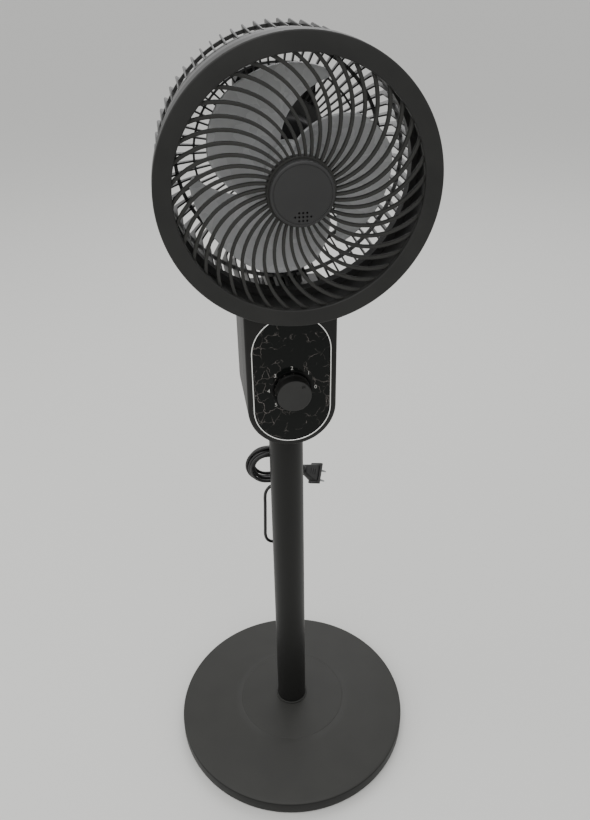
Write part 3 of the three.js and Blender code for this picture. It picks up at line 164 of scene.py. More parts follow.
def turned(name, profile, axis="Y", at=(0, 0, 0), segments=96, ring=False, halfStep=False):
    # extrudes a circle along a profile of (radius, height) points in mm; a ring closes on itself
    bpy.ops.object.select_all(action="DESELECT")
    radius, height = profile[0]
    bpy.ops.mesh.primitive_circle_add(vertices=segments, radius=radius * mm,
                                      fill_type="NOTHING" if ring else "NGON", location=(0, 0, 0))
    obj = bpy.context.object
    obj.name = name
    bpy.ops.object.mode_set(mode="EDIT")
    bpy.ops.mesh.select_all(action="SELECT")
    bpy.ops.transform.translate(value=(0, 0, height * mm))
    for nextRadius, nextHeight in profile[1:]:
        bpy.ops.mesh.extrude_region_move(
            TRANSFORM_OT_translate={"value": (0, 0, (nextHeight - height) * mm)})
        if nextRadius != radius:
            k = nextRadius / radius
            bpy.ops.transform.resize(value=(k, k, 1), center_override=(0, 0, nextHeight * mm))
        radius, height = nextRadius, nextHeight
    if ring:
        bpy.ops.mesh.select_all(action="DESELECT")
        bpy.ops.mesh.select_mode(type="EDGE")
        bpy.ops.mesh.select_non_manifold()
        bpy.ops.mesh.bridge_edge_loops()
    bpy.ops.object.mode_set(mode="OBJECT")
    if halfStep:
        obj.rotation_euler = (0, 0, math.pi / segments)
        applyPlace(obj)
    obj.rotation_euler = turnFor[axis]
    placeAt(obj, at)
    outwardNormals(obj)
    return obj


def flatRing(name, inner, outer, low, high, axis, at=(0, 0, 0), segments=96):
    # a tube or a disc with a hole, square at its edges
    profile = [(inner, low), (outer, low), (outer, high), (inner, high)]
    return turned(name, profile, axis, at, segments, ring=True)


def drill(radius, low, high, axis, at, segments=24):
    # the cutter for a round hole
    return turned("hole", [(radius, low), (radius, high)], axis, at, segments)


def stretched(name, profile, lowZ, highZ, segments=96, ring=False):
    # a turned piece about Y whose upper half is moved up, as for the housing's long round shape
    obj = turned(name, profile, "Y", (0, 0, lowZ), segments, ring, halfStep=True)
    selectVerts(obj, lambda co: co.z > lowZ * mm)
    bpy.ops.transform.translate(value=(0, 0, (highZ - lowZ) * mm))
    bpy.ops.object.mode_set(mode="OBJECT")
    return obj


def gridOn(name, columns, rows, placeOf):
    # a grid laid on a formula of (u, v), both 0 to 1
    bpy.ops.object.select_all(action="DESELECT")
    bpy.ops.mesh.primitive_grid_add(x_subdivisions=columns, y_subdivisions=rows, size=1)
    obj = bpy.context.object
    obj.name = name
    for vert in obj.data.vertices:
        vert.co = Vector(placeOf(vert.co.x + 0.5, vert.co.y + 0.5)) * mm
    return obj


def sheetOf(name, columns, rows, placeOf, thickness):
    obj = gridOn(name, columns, rows, placeOf)
    addModifier(obj, "SOLIDIFY", thickness=thickness * mm, offset=0, use_even_offset=True)
    outwardNormals(obj)
    return obj


def joinAll(objs):
    makeActive(objs[0])
    for obj in objs:
        obj.select_set(True)
    bpy.ops.object.join()
    return bpy.context.object


def copiesRound(obj, count, centreZ, firstShare=0.0):
    # copies about the head's axis, joined to one piece; the share is of the pitch between two
    copies = []
    for i in range(count):
        copy = obj.copy()
        copy.data = obj.data.copy()
        bpy.context.collection.objects.link(copy)
        turn = Matrix.Rotation(-(i + firstShare) * 2 * math.pi / count, 4, "Y")
        there = Matrix.Translation((0, 0, centreZ * mm))
        copy.data.transform(there @ turn @ there.inverted())
        copies.append(copy)
    bpy.data.objects.remove(obj)
    return joinAll(copies)


def cutWith(obj, cutters):
    for cutter in cutters:
        addModifier(obj, "BOOLEAN", operation="DIFFERENCE", object=cutter, solver="EXACT")
        bpy.data.objects.remove(cutter)


def finishPiece(obj, name, body, material, replaced=(), smooth=30):
    obj.name = name
    obj.data.name = name
    obj.data.materials.clear()
    obj.data.materials.append(material)
    if obj.type == "MESH":
        makeActive(obj)
        bpy.ops.object.shade_smooth_by_angle(angle=math.radians(smooth))
    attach(obj, body)
    if replaced:
        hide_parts(*replaced)
    return obj


# Camera, floor and light

view = {
    "place": (-0.1055, -0.7323, 0.9984),
    "lens": 33.98,
    "azimuth": 9.05,
    "pitch": -32.33,
    "roll": -0.88,
    "floorColour": "CFCFCC",
    "roomStrength": 0.9,
    # each light's name, place and size in metres, power in watts, and turn in degrees
    "lights": [
        ("ceilingLight", (-0.5, -0.9, 2.6), 2.2, 34, (20, -10, 0)),
        ("rearLight", (0.6, 1.6, 2.2), 1.6, 20, (-38, 12, 0)),
        ("sideLight", (-2.0, 0.2, 1.5), 1.2, 9, (0, -60, 0)),
    ],
}


def makeView():
    camera = bpy.data.cameras.new("camera")
    camera.lens = view["lens"]
    camera.sensor_width = 36
    camera.sensor_fit = "AUTO"
    camera.clip_start = 0.01
    holder = bpy.data.objects.new("camera", camera)
    bpy.context.collection.objects.link(holder)
    look = Matrix.Rotation(-math.radians(view["azimuth"]), 4, "Z")
    tip = Matrix.Rotation(math.pi / 2 + math.radians(view["pitch"]), 4, "X")
    roll = Matrix.Rotation(math.radians(view["roll"]), 4, "Z")
    holder.matrix_world = Matrix.Translation(view["place"]) @ look @ tip @ roll
    bpy.context.scene.camera = holder


def makeFloor():
    bpy.ops.object.select_all(action="DESELECT")
    bpy.ops.mesh.primitive_plane_add(size=80, location=(0, 0, 0))
    floor = bpy.context.object
    floor.name = "floor"
    material = newMaterial("paleFloor", Roughness=0.6, Base_Color=hexToLinear(view["floorColour"]))[0]
    floor.data.materials.append(material)


def makeLights():
    world = bpy.data.worlds.new("softRoom")
    world.use_nodes = True
    background = world.node_tree.nodes["Background"]
    background.inputs["Color"].default_value = (1, 1, 1, 1)
    background.inputs["Strength"].default_value = view["roomStrength"]
    bpy.context.scene.world = world
    for name, place, size, power, turn in view["lights"]:
        light = bpy.data.lights.new(name, "AREA")
        light.size = size
        light.energy = power
        holder = bpy.data.objects.new(name, light)
        bpy.context.collection.objects.link(holder)
        holder.location = place
        holder.rotation_euler = Euler([math.radians(a) for a in turn])


makeView()
makeFloor()
makeLights()
print("view made")


# Materials

def mouldedAbs(name, colour, roughness=0.46, grainMm=0.45, grainDepth=0.02, specular=0.5, cloudy=0.1):
    # ABS out of a spark-eroded tool: a fine even grain, slightly cloudy in tone
    material, tree, shader, inMm = newMaterial(name, IOR=1.53, Specular_IOR_Level=specular)
    cloud = addNode(tree, "ShaderNodeTexNoise", {"Scale": 1 / 35, "Detail": 3.0}, {"Vector": inMm})
    dark, light = 1 - cloudy, 1 + cloudy
    applyPattern(tree, shader, cloud.outputs["Fac"], tonesAt=(0.35, 0.65),
                 tones=(scaledColour(colour, dark, dark, dark), scaledColour(colour, light, light, light)))
    grain = addNode(tree, "ShaderNodeTexNoise", {"Scale": 1 / grainMm, "Detail": 2.0}, {"Vector": inMm})
    applyPattern(tree, shader, grain.outputs["Fac"], roughness=(roughness - 0.06, roughness + 0.06),
                 relief=(0.35, grainDepth))
    return material


def coatedSteel(name, colour, specular=0.5):
    # powder coat on a steel tube: a faint orange peel about 2 mm across
    material, tree, shader, inMm = newMaterial(name, IOR=1.5, Specular_IOR_Level=specular,
                                               Base_Color=hexToLinear(colour))
    peel = addNode(tree, "ShaderNodeTexNoise", {"Scale": 1 / 2.0, "Detail": 1.0}, {"Vector": inMm})
    applyPattern(tree, shader, peel.outputs["Fac"], roughness=(0.34, 0.44), relief=(0.3, 0.05))
    return material


def zincPlatedSteel(name, colour="9A9C9E", roughness=0.38):
    # zinc on a turned or pressed part: bright, with clouds about 6 mm across
    material, tree, shader, inMm = newMaterial(name, Metallic=1.0)
    cloud = addNode(tree, "ShaderNodeTexNoise", {"Scale": 1 / 6.0, "Detail": 3.0}, {"Vector": inMm})
    applyPattern(tree, shader, cloud.outputs["Fac"],
                 tones=(scaledColour(colour, 0.75, 0.76, 0.78), scaledColour(colour, 1.1, 1.1, 1.08)),
                 roughness=(roughness - 0.1, roughness + 0.1))
    return material


def laminatedSteel(name):
    # a stack of 0.5 mm sheets, drawn 1 mm apart so that it shows
    material, tree, shader, inMm = newMaterial(name, Metallic=1.0, Roughness=0.5)
    split = addNode(tree, "ShaderNodeSeparateXYZ", links={"Vector": inMm})
    wave = addNode(tree, "ShaderNodeMath", {1: 2 * math.pi}, {0: split.outputs["Y"]}, operation="MULTIPLY")
    line = addNode(tree, "ShaderNodeMath", links={0: wave.outputs["Value"]}, operation="SINE")
    tone = addNode(tree, "ShaderNodeMapRange", {"From Min": -1.0, "To Min": 0.35, "To Max": 1.0},
                   {"Value": line.outputs["Value"]})
    mix = addNode(tree, "ShaderNodeMix", {6: hexToLinear("1C1C1E"), 7: hexToLinear("5C5E62")},
                  {"Factor": tone.outputs["Result"]}, data_type="RGBA")
    tree.links.new(mix.outputs[2], shader.inputs["Base Color"])
    return material


def castIron(name):
    # cast weight under black wash: coarse pitted skin
    material, tree, shader, inMm = newMaterial(name, Metallic=0.6, Base_Color=hexToLinear("3A3A3A"))
    skin = addNode(tree, "ShaderNodeTexNoise", {"Scale": 1 / 1.5, "Detail": 4.0}, {"Vector": inMm})
    applyPattern(tree, shader, skin.outputs["Fac"], roughness=(0.6, 0.9), relief=(0.6, 0.3))
    return material


def sinteredBronze(name):
    # pressed powder bronze: matt, with dark pores about 0.4 mm across
    material, tree, shader, inMm = newMaterial(name, Metallic=1.0)
    pores = addNode(tree, "ShaderNodeTexVoronoi", {"Scale": 1 / 0.4}, {"Vector": inMm})
    applyPattern(tree, shader, pores.outputs["Distance"], tonesAt=(0.0, 0.3),
                 tones=(hexToLinear("5A3F20"), hexToLinear("A07A45")), roughness=(0.6, 0.4))
    return material


def silverTrim(name):
    # vacuum-metallised plastic under lacquer: bright, with a slight ripple
    material, tree, shader, inMm = newMaterial(name, Metallic=1.0, Base_Color=hexToLinear("FCFCFA"))
    ripple = addNode(tree, "ShaderNodeTexNoise", {"Scale": 1 / 4.0, "Detail": 1.0}, {"Vector": inMm})
    applyPattern(tree, shader, ripple.outputs["Fac"], roughness=(0.16, 0.24))
    return material


# cells are bent by a noise and drawn as thin edges, more of them away from the line x = middle;
# a cell, its warp, its bend and a patch are in mm, a width is a share of its cell
veins = {
    "dark": "0F1110", "light": "77716E", "middle": 10, "outwardGain": 0.0035, "patch": 17,
    "fadeBelow": 0.05, "fadeAbove": 0.07,
    "layers": [
        {"cell": 34, "warp": 20, "bend": 30, "width": 0.011, "threshold": 0.57},
        {"cell": 11, "warp": 12, "bend": 12, "width": 0.028, "threshold": 0.64},
    ],
}


def marbledPanel(name):
    # back-printed clear acrylic: near black with thin grey-brown veins under the gloss
    material, tree, shader, inMm = newMaterial(name, Roughness=0.07, IOR=1.49, Specular_IOR_Level=0.15)
    split = addNode(tree, "ShaderNodeSeparateXYZ", links={"Vector": inMm})
    middle = addNode(tree, "ShaderNodeMath", {1: veins["middle"]}, {0: split.outputs["X"]},
                     operation="SUBTRACT")
    outward = addNode(tree, "ShaderNodeMath", links={0: middle.outputs["Value"]}, operation="ABSOLUTE")
    lines = []
    for layer in veins["layers"]:
        warp = addNode(tree, "ShaderNodeTexNoise", {"Scale": 1 / layer["warp"], "Detail": 4.0},
                       {"Vector": inMm})
        push = addNode(tree, "ShaderNodeVectorMath", {"Scale": layer["bend"]}, {0: warp.outputs["Color"]},
                       operation="SCALE")
        bent = addNode(tree, "ShaderNodeVectorMath", links={0: inMm, 1: push.outputs["Vector"]},
                       operation="ADD")
        cells = addNode(tree, "ShaderNodeTexVoronoi", {"Scale": 1 / layer["cell"]},
                        {"Vector": bent.outputs["Vector"]}, feature="DISTANCE_TO_EDGE")
        thin = addNode(tree, "ShaderNodeMapRange",
                       {"From Max": layer["width"], "To Min": 1.0, "To Max": 0.0},
                       {"Value": cells.outputs["Distance"]})
        patch = addNode(tree, "ShaderNodeTexNoise", {"Scale": 1 / veins["patch"], "Detail": 3.0},
                        {"Vector": bent.outputs["Vector"]})
        edgeward = addNode(tree, "ShaderNodeMath", {1: veins["outwardGain"]},
                           {0: outward.outputs["Value"], 2: patch.outputs["Fac"]},
                           operation="MULTIPLY_ADD")
        here = addNode(tree, "ShaderNodeMapRange",
                       {"From Min": layer["threshold"] - veins["fadeBelow"],
                        "From Max": layer["threshold"] + veins["fadeAbove"]},
                       {"Value": edgeward.outputs["Value"]})
        lines.append(addNode(tree, "ShaderNodeMath",
                             links={0: thin.outputs["Result"], 1: here.outputs["Result"]},
                             operation="MULTIPLY"))
    both = addNode(tree, "ShaderNodeMath",
                   links={0: lines[0].outputs["Value"], 1: lines[1].outputs["Value"]},
                   operation="MAXIMUM")
    mix = addNode(tree, "ShaderNodeMix", {6: hexToLinear(veins["dark"]), 7: hexToLinear(veins["light"])},
                  {"Factor": both.outputs["Value"]}, data_type="RGBA")
    tree.links.new(mix.outputs[2], shader.inputs["Base Color"])
    return material


def smokedResin(name):
    # styrene-acrylonitrile tinted with smoke: glossy and a little see-through, with faint flow lines
    material, tree, shader, inMm = newMaterial(name, IOR=1.57, Transmission_Weight=0.05)
    flow = addNode(tree, "ShaderNodeTexNoise", {"Scale": 1 / 22.0, "Detail": 2.0}, {"Vector": inMm})
    applyPattern(tree, shader, flow.outputs["Fac"], tones=(hexToLinear("CBCCCD"), hexToLinear("D6D7D7")),
                 roughness=(0.2, 0.34))
    return material


def softPvc(name, colour="121212", roughness=0.42):
    # extruded or moulded PVC or rubber: smooth with a faint orange peel
    material, tree, shader, inMm = newMaterial(name, IOR=1.53, Base_Color=hexToLinear(colour))
    skin = addNode(tree, "ShaderNodeTexNoise", {"Scale": 1 / 1.2, "Detail": 2.0}, {"Vector": inMm})
    applyPattern(tree, shader, skin.outputs["Fac"], roughness=(roughness - 0.08, roughness + 0.08),
                 relief=(0.25, 0.05))
    return material


def acetal(name):
    # machined or moulded POM: waxy off-white
    material, tree, shader, inMm = newMaterial(name, IOR=1.48, Subsurface_Weight=0.1, Roughness=0.45)
    cloud = addNode(tree, "ShaderNodeTexNoise", {"Scale": 1 / 5.0, "Detail": 2.0}, {"Vector": inMm})
    applyPattern(tree, shader, cloud.outputs["Fac"], tones=(hexToLinear("CFCCC2"), hexToLinear("E0DDD4")))
    return material


def printedInk(name):
    # pad-printed light grey ink, slightly uneven
    material, tree, shader, inMm = newMaterial(name, Roughness=0.5)
    uneven = addNode(tree, "ShaderNodeTexNoise", {"Scale": 1 / 0.6, "Detail": 2.0}, {"Vector": inMm})
    applyPattern(tree, shader, uneven.outputs["Fac"], tones=(hexToLinear("A9A8A4"), hexToLinear("C8C7C3")))
    return material


charcoalAbs = mouldedAbs("charcoalAbs", "282826", specular=0.28)
housingAbs = mouldedAbs("satinHousingAbs", "222221", specular=0.17)
ringAbs = mouldedAbs("satinRingAbs", "252524", roughness=0.42, specular=0.22)
capAbs = mouldedAbs("satinCapAbs", "2F2F2F", roughness=0.34, specular=0.26, cloudy=0.05)
finAbs = mouldedAbs("satinFinAbs", "323231", roughness=0.38, specular=0.45)
bandAbs = mouldedAbs("satinBandAbs", "323231", roughness=0.42, specular=0.42)
baseAbs = mouldedAbs("satinBaseAbs", "2E2E2C", roughness=0.5, grainMm=0.6, grainDepth=0.03, specular=0.22,
                     cloudy=0.04)
# painted shade: the foot's side wall gets a darker copy of the foot's ABS, not a finish of its own
rimPaintedShadeAbs = mouldedAbs("footRimPaintedShadeAbs", "1E1E1D", roughness=0.45, specular=0.15, cloudy=0.04)
blackAbs = mouldedAbs("mattBlackAbs", "151515", roughness=0.6, specular=0.3)
knobAbs = mouldedAbs("satinKnobAbs", "1B1B1A", roughness=0.3, specular=0.25)
# painted light: the knob's front face gets a lighter copy of the knob's ABS, against a side that the head
# shades
knobFacePaintedLightAbs = mouldedAbs("knobFaceLitCopyAbs", "2D2D2C", roughness=0.4, specular=0.25)
# painted shade: the knob's seat is a real shallow recess, drawn near black for the shade that falls in it
seatPaintedShadeAbs = mouldedAbs("knobSeatPaintedShadeAbs", "0A0A0A", roughness=0.3, specular=0.1)
tubeCoat = coatedSteel("powderCoatedTube", "1B1B1A", specular=0.2)
zincSteel = zincPlatedSteel("zincPlatedSteel")
motorSteel = zincPlatedSteel("darkMotorSteel", "4B4C4E", roughness=0.5)
laminations = laminatedSteel("motorLaminations")
ironWeight = castIron("castIronWeight")
bronze = sinteredBronze("sinteredBronze")
trimSilver = silverTrim("metallisedTrim")
panelAcrylic = marbledPanel("marbledAcrylic")
smokeResin = smokedResin("smokedResin")
cordPvc = softPvc("cordPvc")
plugPvc = softPvc("plugPvc", "1A1A1A", roughness=0.5)
footRubber = softPvc("footRubber", "181818", roughness=0.8)
whiteAcetal = acetal("whiteAcetal")
dialInk = printedInk("dialInk")
print("materials made")


# Mains lead: one cord from the gland through the coil to the plug

lead = {
    "diameter": 4.0,
    "leadRoute": [(0, 27, 491.3), (0, 27, 488), (1, 28.2, 482), (2.8, 31, 475.5), (5.2, 34.2, 469),
                  (8.2, 36.2, 462.5)],
    "tailRoute": [
        (-16.9, 22, 407.5), (-21.2, 21.6, 403.9), (-23.9, 21, 399.1), (-24.9, 20.5, 393.6),
        (-25.3, 20, 380), (-25.9, 20, 360), (-26.4, 20, 342), (-26.5, 20.2, 331), (-24.3, 20.8, 322.9),
        (-18.4, 22.2, 316.9), (-10.3, 24.2, 314.8), (-2.2, 25.8, 316.9), (3.8, 27, 322.9),
        (6, 28, 331), (5.6, 30, 345), (3.6, 33.4, 362), (0, 38, 380), (-5.4, 42, 393.6),
        (-9.4, 43.6, 403), (-8.5, 44.1, 412.4), (-2.6, 44.3, 418.3), (5.4, 44.7, 420.4),
        (12, 45.3, 419.8)],
    "pointSpacing": 1.6,
    "coilCentre": (-11.2, 435),
    "coilFront": 22.3,
    "coilInner": 17.5,
    "coilRun": 16,
    "coilPitch": 5.1,
    "coilLayers": 4,
    "coilLayerStep": 4.8,
    "layerTurns": 2,
    "woundTurns": 1.5,
    "stepsPerBend": 10,
    "firstStep": 4,
    "lastStep": 179,
    "plugStart": (17.4, 47, 416.9),
    "plugGap": 0.3,
    "plugStraight": 2,
    "plugSlope": 40,
    "plugYaw": 25,
    "plugRoll": 30,
}


def coilPoints():
    # a layer winds in or out by a pitch a turn, then climbs to the next in its last half turn; a
    # turn has two half circles and two straight runs of two steps each
    points = []
    bend = lead["stepsPerBend"]
    steps = 2 * (bend + 2)
    inner, pitch, wound = lead["coilInner"], lead["coilPitch"], lead["woundTurns"]
    last = lead["coilLayers"] - 1
    rear = lead["coilFront"] + last * lead["coilLayerStep"]
    half = lead["coilRun"] / 2
    for i in range(lead["lastStep"] - lead["firstStep"] + 1):
        turns = i / steps
        layer = min(int(turns / lead["layerTurns"] + 1e-9), last)
        into = turns - layer * lead["layerTurns"]
        climb = max(0.0, into - wound) / (lead["layerTurns"] - wound) if layer < last else 0.0
        winding = min(into, wound) if layer % 2 else wound - min(into, wound)
        radius = inner + winding * pitch
        y = rear - (layer + climb) * lead["coilLayerStep"]
        step = (i + lead["firstStep"]) % steps
        if step <= 1:
            x, z = half * step, radius
        elif step <= 1 + bend:
            turn = math.pi / 2 - math.pi * (step - 1) / bend
            x, z = half + radius * math.cos(turn), radius * math.sin(turn)
        elif step <= 3 + bend:
            x, z = half * (2 + bend - step), -radius
        elif step <= 3 + 2 * bend:
            turn = -math.pi / 2 - math.pi * (step - 3 - bend) / bend
            x, z = -half + radius * math.cos(turn), radius * math.sin(turn)
        else:
            x, z = half * (step - steps), radius
        points.append(Vector((lead["coilCentre"][0] + x, y, lead["coilCentre"][1] + z)))
    return points


def smoothLine(points, spacing, fine=12):
    # centripetal Catmull-Rom through the points, resampled evenly
    pts = [points[0] * 2 - points[1], *points, points[-1] * 2 - points[-2]]
    dense = []
    for p0, p1, p2, p3 in zip(pts, pts[1:], pts[2:], pts[3:]):
        t0, t1 = 0.0, (p1 - p0).length ** 0.5
        t2 = t1 + (p2 - p1).length ** 0.5
        t3 = t2 + (p3 - p2).length ** 0.5
        for k in range(fine):
            t = t1 + (t2 - t1) * k / fine
            a1 = p0 * ((t1 - t) / (t1 - t0)) + p1 * ((t - t0) / (t1 - t0))
            a2 = p1 * ((t2 - t) / (t2 - t1)) + p2 * ((t - t1) / (t2 - t1))
            a3 = p2 * ((t3 - t) / (t3 - t2)) + p3 * ((t - t2) / (t3 - t2))
            b1 = a1 * ((t2 - t) / (t2 - t0)) + a2 * ((t - t0) / (t2 - t0))
            b2 = a2 * ((t3 - t) / (t3 - t1)) + a3 * ((t - t1) / (t3 - t1))
            dense.append(b1 * ((t2 - t) / (t2 - t1)) + b2 * ((t - t1) / (t2 - t1)))
    dense.append(points[-1])
    line, carried = [dense[0]], 0.0
    for a, b in zip(dense, dense[1:]):
        carried += (b - a).length
        if carried >= spacing:
            line.append(b)
            carried = 0.0
    if (line[-1] - dense[-1]).length > spacing / 3:
        line.append(dense[-1])
    else:
        line[-1] = dense[-1]
    return line


plugTurn = (Matrix.Rotation(math.radians(lead["plugYaw"]), 4, "Z")
            @ Matrix.Rotation(math.radians(lead["plugSlope"]), 4, "Y")
            @ Matrix.Rotation(math.radians(90 - lead["plugRoll"]), 4, "X"))
plugPlace = Matrix.Translation(Vector(lead["plugStart"]) * mm) @ plugTurn


def makeLead():
    plugAxis = plugTurn @ Vector((1, 0, 0))
    plugPoint = Vector(lead["plugStart"]) - plugAxis * lead["plugGap"]
    points = [*map(Vector, lead["leadRoute"]), *coilPoints(), *map(Vector, lead["tailRoute"]),
              plugPoint - plugAxis * lead["plugStraight"], plugPoint]
    line = smoothLine(points, lead["pointSpacing"])
    length = sum((b - a).length for a, b in zip(line, line[1:])) * mm
    curve = bpy.data.curves.new("mainsLead", "CURVE")
    curve.dimensions = "3D"
    curve.bevel_depth = lead["diameter"] / 2 * mm
    curve.bevel_resolution = 3
    curve.use_fill_caps = True
    spline = curve.splines.new("POLY")
    spline.points.add(len(line) - 1)
    spline.use_smooth = True
    for point, where in zip(spline.points, line):
        point.co = (*(where * mm), 1)
    cord = bpy.data.objects.new("mainsLead", curve)
    bpy.context.collection.objects.link(cord)
    finishPiece(cord, "mainsLead", "stand", cordPvc, ("cord_lead", "cord_coil", "cord_tail"))
    return cord, line[0] * mm, length


mainsLead, leadExit, leadLength = makeLead()
print("lead made, length", round(leadLength, 3))


# Gland, tie and plug

gland = {
    "place": (0, 27, 0), "bore": 2.2, "bottom": 491.6, "tipRadius": 2.7, "top": 516.6, "topRadius": 4.2,
    "ribs": 6, "firstRib": 493, "ribPitch": 3.6, "notch": 0.6,
    "flangeRadius": 5, "flangeTop": 519.1, "stemRadius": 3.4, "stemTop": 524.9,
}


def makeGland():
    # strain relief with notched ribs below the housing
    spread = (gland["topRadius"] - gland["tipRadius"]) / (gland["top"] - gland["bottom"])
    profile = [(gland["bore"], gland["bottom"])]
    for i in range(gland["ribs"]):
        low = gland["firstRib"] + i * gland["ribPitch"]
        r = gland["tipRadius"] + spread * (low - gland["bottom"])
        cut = r - gland["notch"]
        profile += [(r, low), (r, low + 2.2), (cut, low + 2.4), (cut, low + 3.4)]
    profile += [(gland["topRadius"], gland["top"]), (gland["flangeRadius"], gland["top"]),
                (gland["flangeRadius"], gland["flangeTop"]), (gland["stemRadius"], gland["flangeTop"]),
                (gland["stemRadius"], gland["stemTop"])]
    relief = turned("strainRelief", profile, "Z", gland["place"], 32)
    softenEdges(relief, 0.25, 2)
    return finishPiece(relief, "strainRelief", "stand", plugPvc, ("cord_gland",))


tie = {"margin": 3, "corner": 3.2, "width": 5, "thickness": 0.9, "left": 2.5}


def makeTie():
    # a flat strap round the coil's upper run
    x, z = lead["coilCentre"]
    front = lead["coilFront"] - tie["margin"]
    rear = lead["coilFront"] + (lead["coilLayers"] - 1) * lead["coilLayerStep"] + tie["margin"]
    low = z + lead["coilInner"] - tie["margin"]
    high = z + lead["coilInner"] + lead["woundTurns"] * lead["coilPitch"] + tie["margin"]
    bpy.ops.object.select_all(action="DESELECT")
    bpy.ops.mesh.primitive_plane_add(size=1, location=(0, 0, 0))
    strap = bpy.context.object
    strap.scale = ((rear - front) * mm, (high - low) * mm, 1)
    applyPlace(strap)
    bpy.ops.object.mode_set(mode="EDIT")
    bpy.ops.mesh.select_all(action="SELECT")
    bpy.ops.mesh.bevel(offset=tie["corner"] * mm, segments=6, affect="VERTICES")
    bpy.ops.mesh.delete(type="ONLY_FACE")
    bpy.ops.object.mode_set(mode="OBJECT")
    pushOut(strap, (0, 0, tie["width"]))
    strap.rotation_euler = Matrix(((0, 0, 1), (1, 0, 0), (0, 1, 0))).to_euler()
    placeAt(strap, (x - tie["left"], (front + rear) / 2, (low + high) / 2))
    addModifier(strap, "SOLIDIFY", thickness=tie["thickness"] * mm, offset=0)
    outwardNormals(strap)
    softenEdges(strap, 0.3, 2)
    return finishPiece(strap, "coilTie", "stand", footRubber, ("cord_tie",))


# the plug lies along X from its boot; its sections are (x, half width, half height)
plug = {
    "bootRings": 4, "bootPitch": 4, "bootRadius": 2.7, "bootTaper": 0.072,
    "body": [(18.5, 5, 4.4), (20, 6, 5), (30, 8.6, 6.1), (36, 10.4, 6.8), (40.5, 11, 7)],
    "flange": [(39.6, 13, 8.1), (40.4, 13.5, 8.5), (44, 13.5, 8.5)],
    "grips": 3, "gripStart": 26, "gripPitch": 3.6, "gripWidth": 1.6, "gripHeight": 5.75, "gripRise": 0.42,
    "pin": [(36.3, 0.75, 3.15), (57.5, 0.75, 3.15), (60, 0.55, 2.2)], "pinGap": 12.7,
}


def wedgeBlock(name, sections):
    # a square face drawn along X over (x, half width, half height) sections, one extrude each
    bpy.ops.object.select_all(action="DESELECT")
    x, halfW, halfH = sections[0]
    bpy.ops.mesh.primitive_plane_add(size=2, location=(0, 0, 0), rotation=(0, math.pi / 2, 0))
    obj = bpy.context.object
    obj.name = name
    applyPlace(obj)
    bpy.ops.object.mode_set(mode="EDIT")
    bpy.ops.mesh.select_all(action="SELECT")
    bpy.ops.transform.resize(value=(1, halfW * mm, halfH * mm), center_override=(0, 0, 0))
    bpy.ops.transform.translate(value=(x * mm, 0, 0))
    for nextX, nextW, nextH in sections[1:]:
        bpy.ops.mesh.extrude_region_move(TRANSFORM_OT_translate={"value": ((nextX - x) * mm, 0, 0)})
        bpy.ops.transform.resize(value=(1, nextW / halfW, nextH / halfH),
                                 center_override=(nextX * mm, 0, 0))
        x, halfW, halfH = nextX, nextW, nextH
    bpy.ops.object.mode_set(mode="OBJECT")
    outwardNormals(obj)
    return obj


def makePlug():
    bootProfile = [(plug["bootRadius"], 0)]
    for i in range(plug["bootRings"]):
        low = 2 + i * plug["bootPitch"]
        r = plug["bootRadius"] + plug["bootTaper"] * low
        bootProfile += [(r, low), (r + 0.15, low + 2.4), (r - 0.7, low + 2.6), (r - 0.7, low + 3.8)]
    bootProfile += [(4.3, 19), (4.5, 22)]
    boot = turned("boot", bootProfile, "X", (0, 0, 0), 28)
    body = wedgeBlock("wedge", plug["body"])
    softenEdges(body, 1.6, 4, 20)
    flange = wedgeBlock("flange", plug["flange"])
    softenEdges(flange, 1.2, 4, 20)
    grips = []
    for side in (-1, 1):
        for i in range(plug["grips"]):
            start = plug["gripStart"] + i * plug["gripPitch"]
            grip = wedgeBlock("grip", [(start, 3.6, 0.5), (start + plug["gripWidth"], 3.6, 0.5)])
            placeAt(grip, (0, 0, side * (plug["gripHeight"] + i * plug["gripRise"])))
            softenEdges(grip, 0.3, 2, 20)
            grips.append(grip)
    whole = joinAll([body, boot, flange, *grips])
    whole.data.transform(plugPlace)
    finishPiece(whole, "plugShell", "stand", plugPvc, ("plug_body",), 40)
    pins = []
    for side, word in ((-1, "left"), (1, "right")):
        pin = wedgeBlock("pin", plug["pin"])
        softenEdges(pin, 0.2, 2, 20)
        placeAt(pin, (0, side * plug["pinGap"] / 2, 0))
        pin.data.transform(plugPlace)
        pins.append(finishPiece(pin, "blade" + word.capitalize(), "stand", zincSteel,
                                (f"plug_pin_{word}",)))
    return whole, pins


strainRelief = makeGland()
coilTie = makeTie()
plugShell, plugPins = makePlug()
print("plug made")


# Foot and column

foot = {
    "radius": 160, "bore": 20, "crown": 157.6, "rim": 20.1, "rise": 23, "power": 1.5,
    "edge": 3, "edgeHeight": 17.2, "lip": 1.2,
    "hollow": [(157.5, 1.2), (157.5, 15.8), (115, 26), (34, 38), (34, 12)],
    "groove": 73.7, "grooveWidth": 1.5, "grooveDepth": 0.22,
    "pads": 4, "padRadius": 9, "padHeight": 2.5, "padPlace": 128,
}


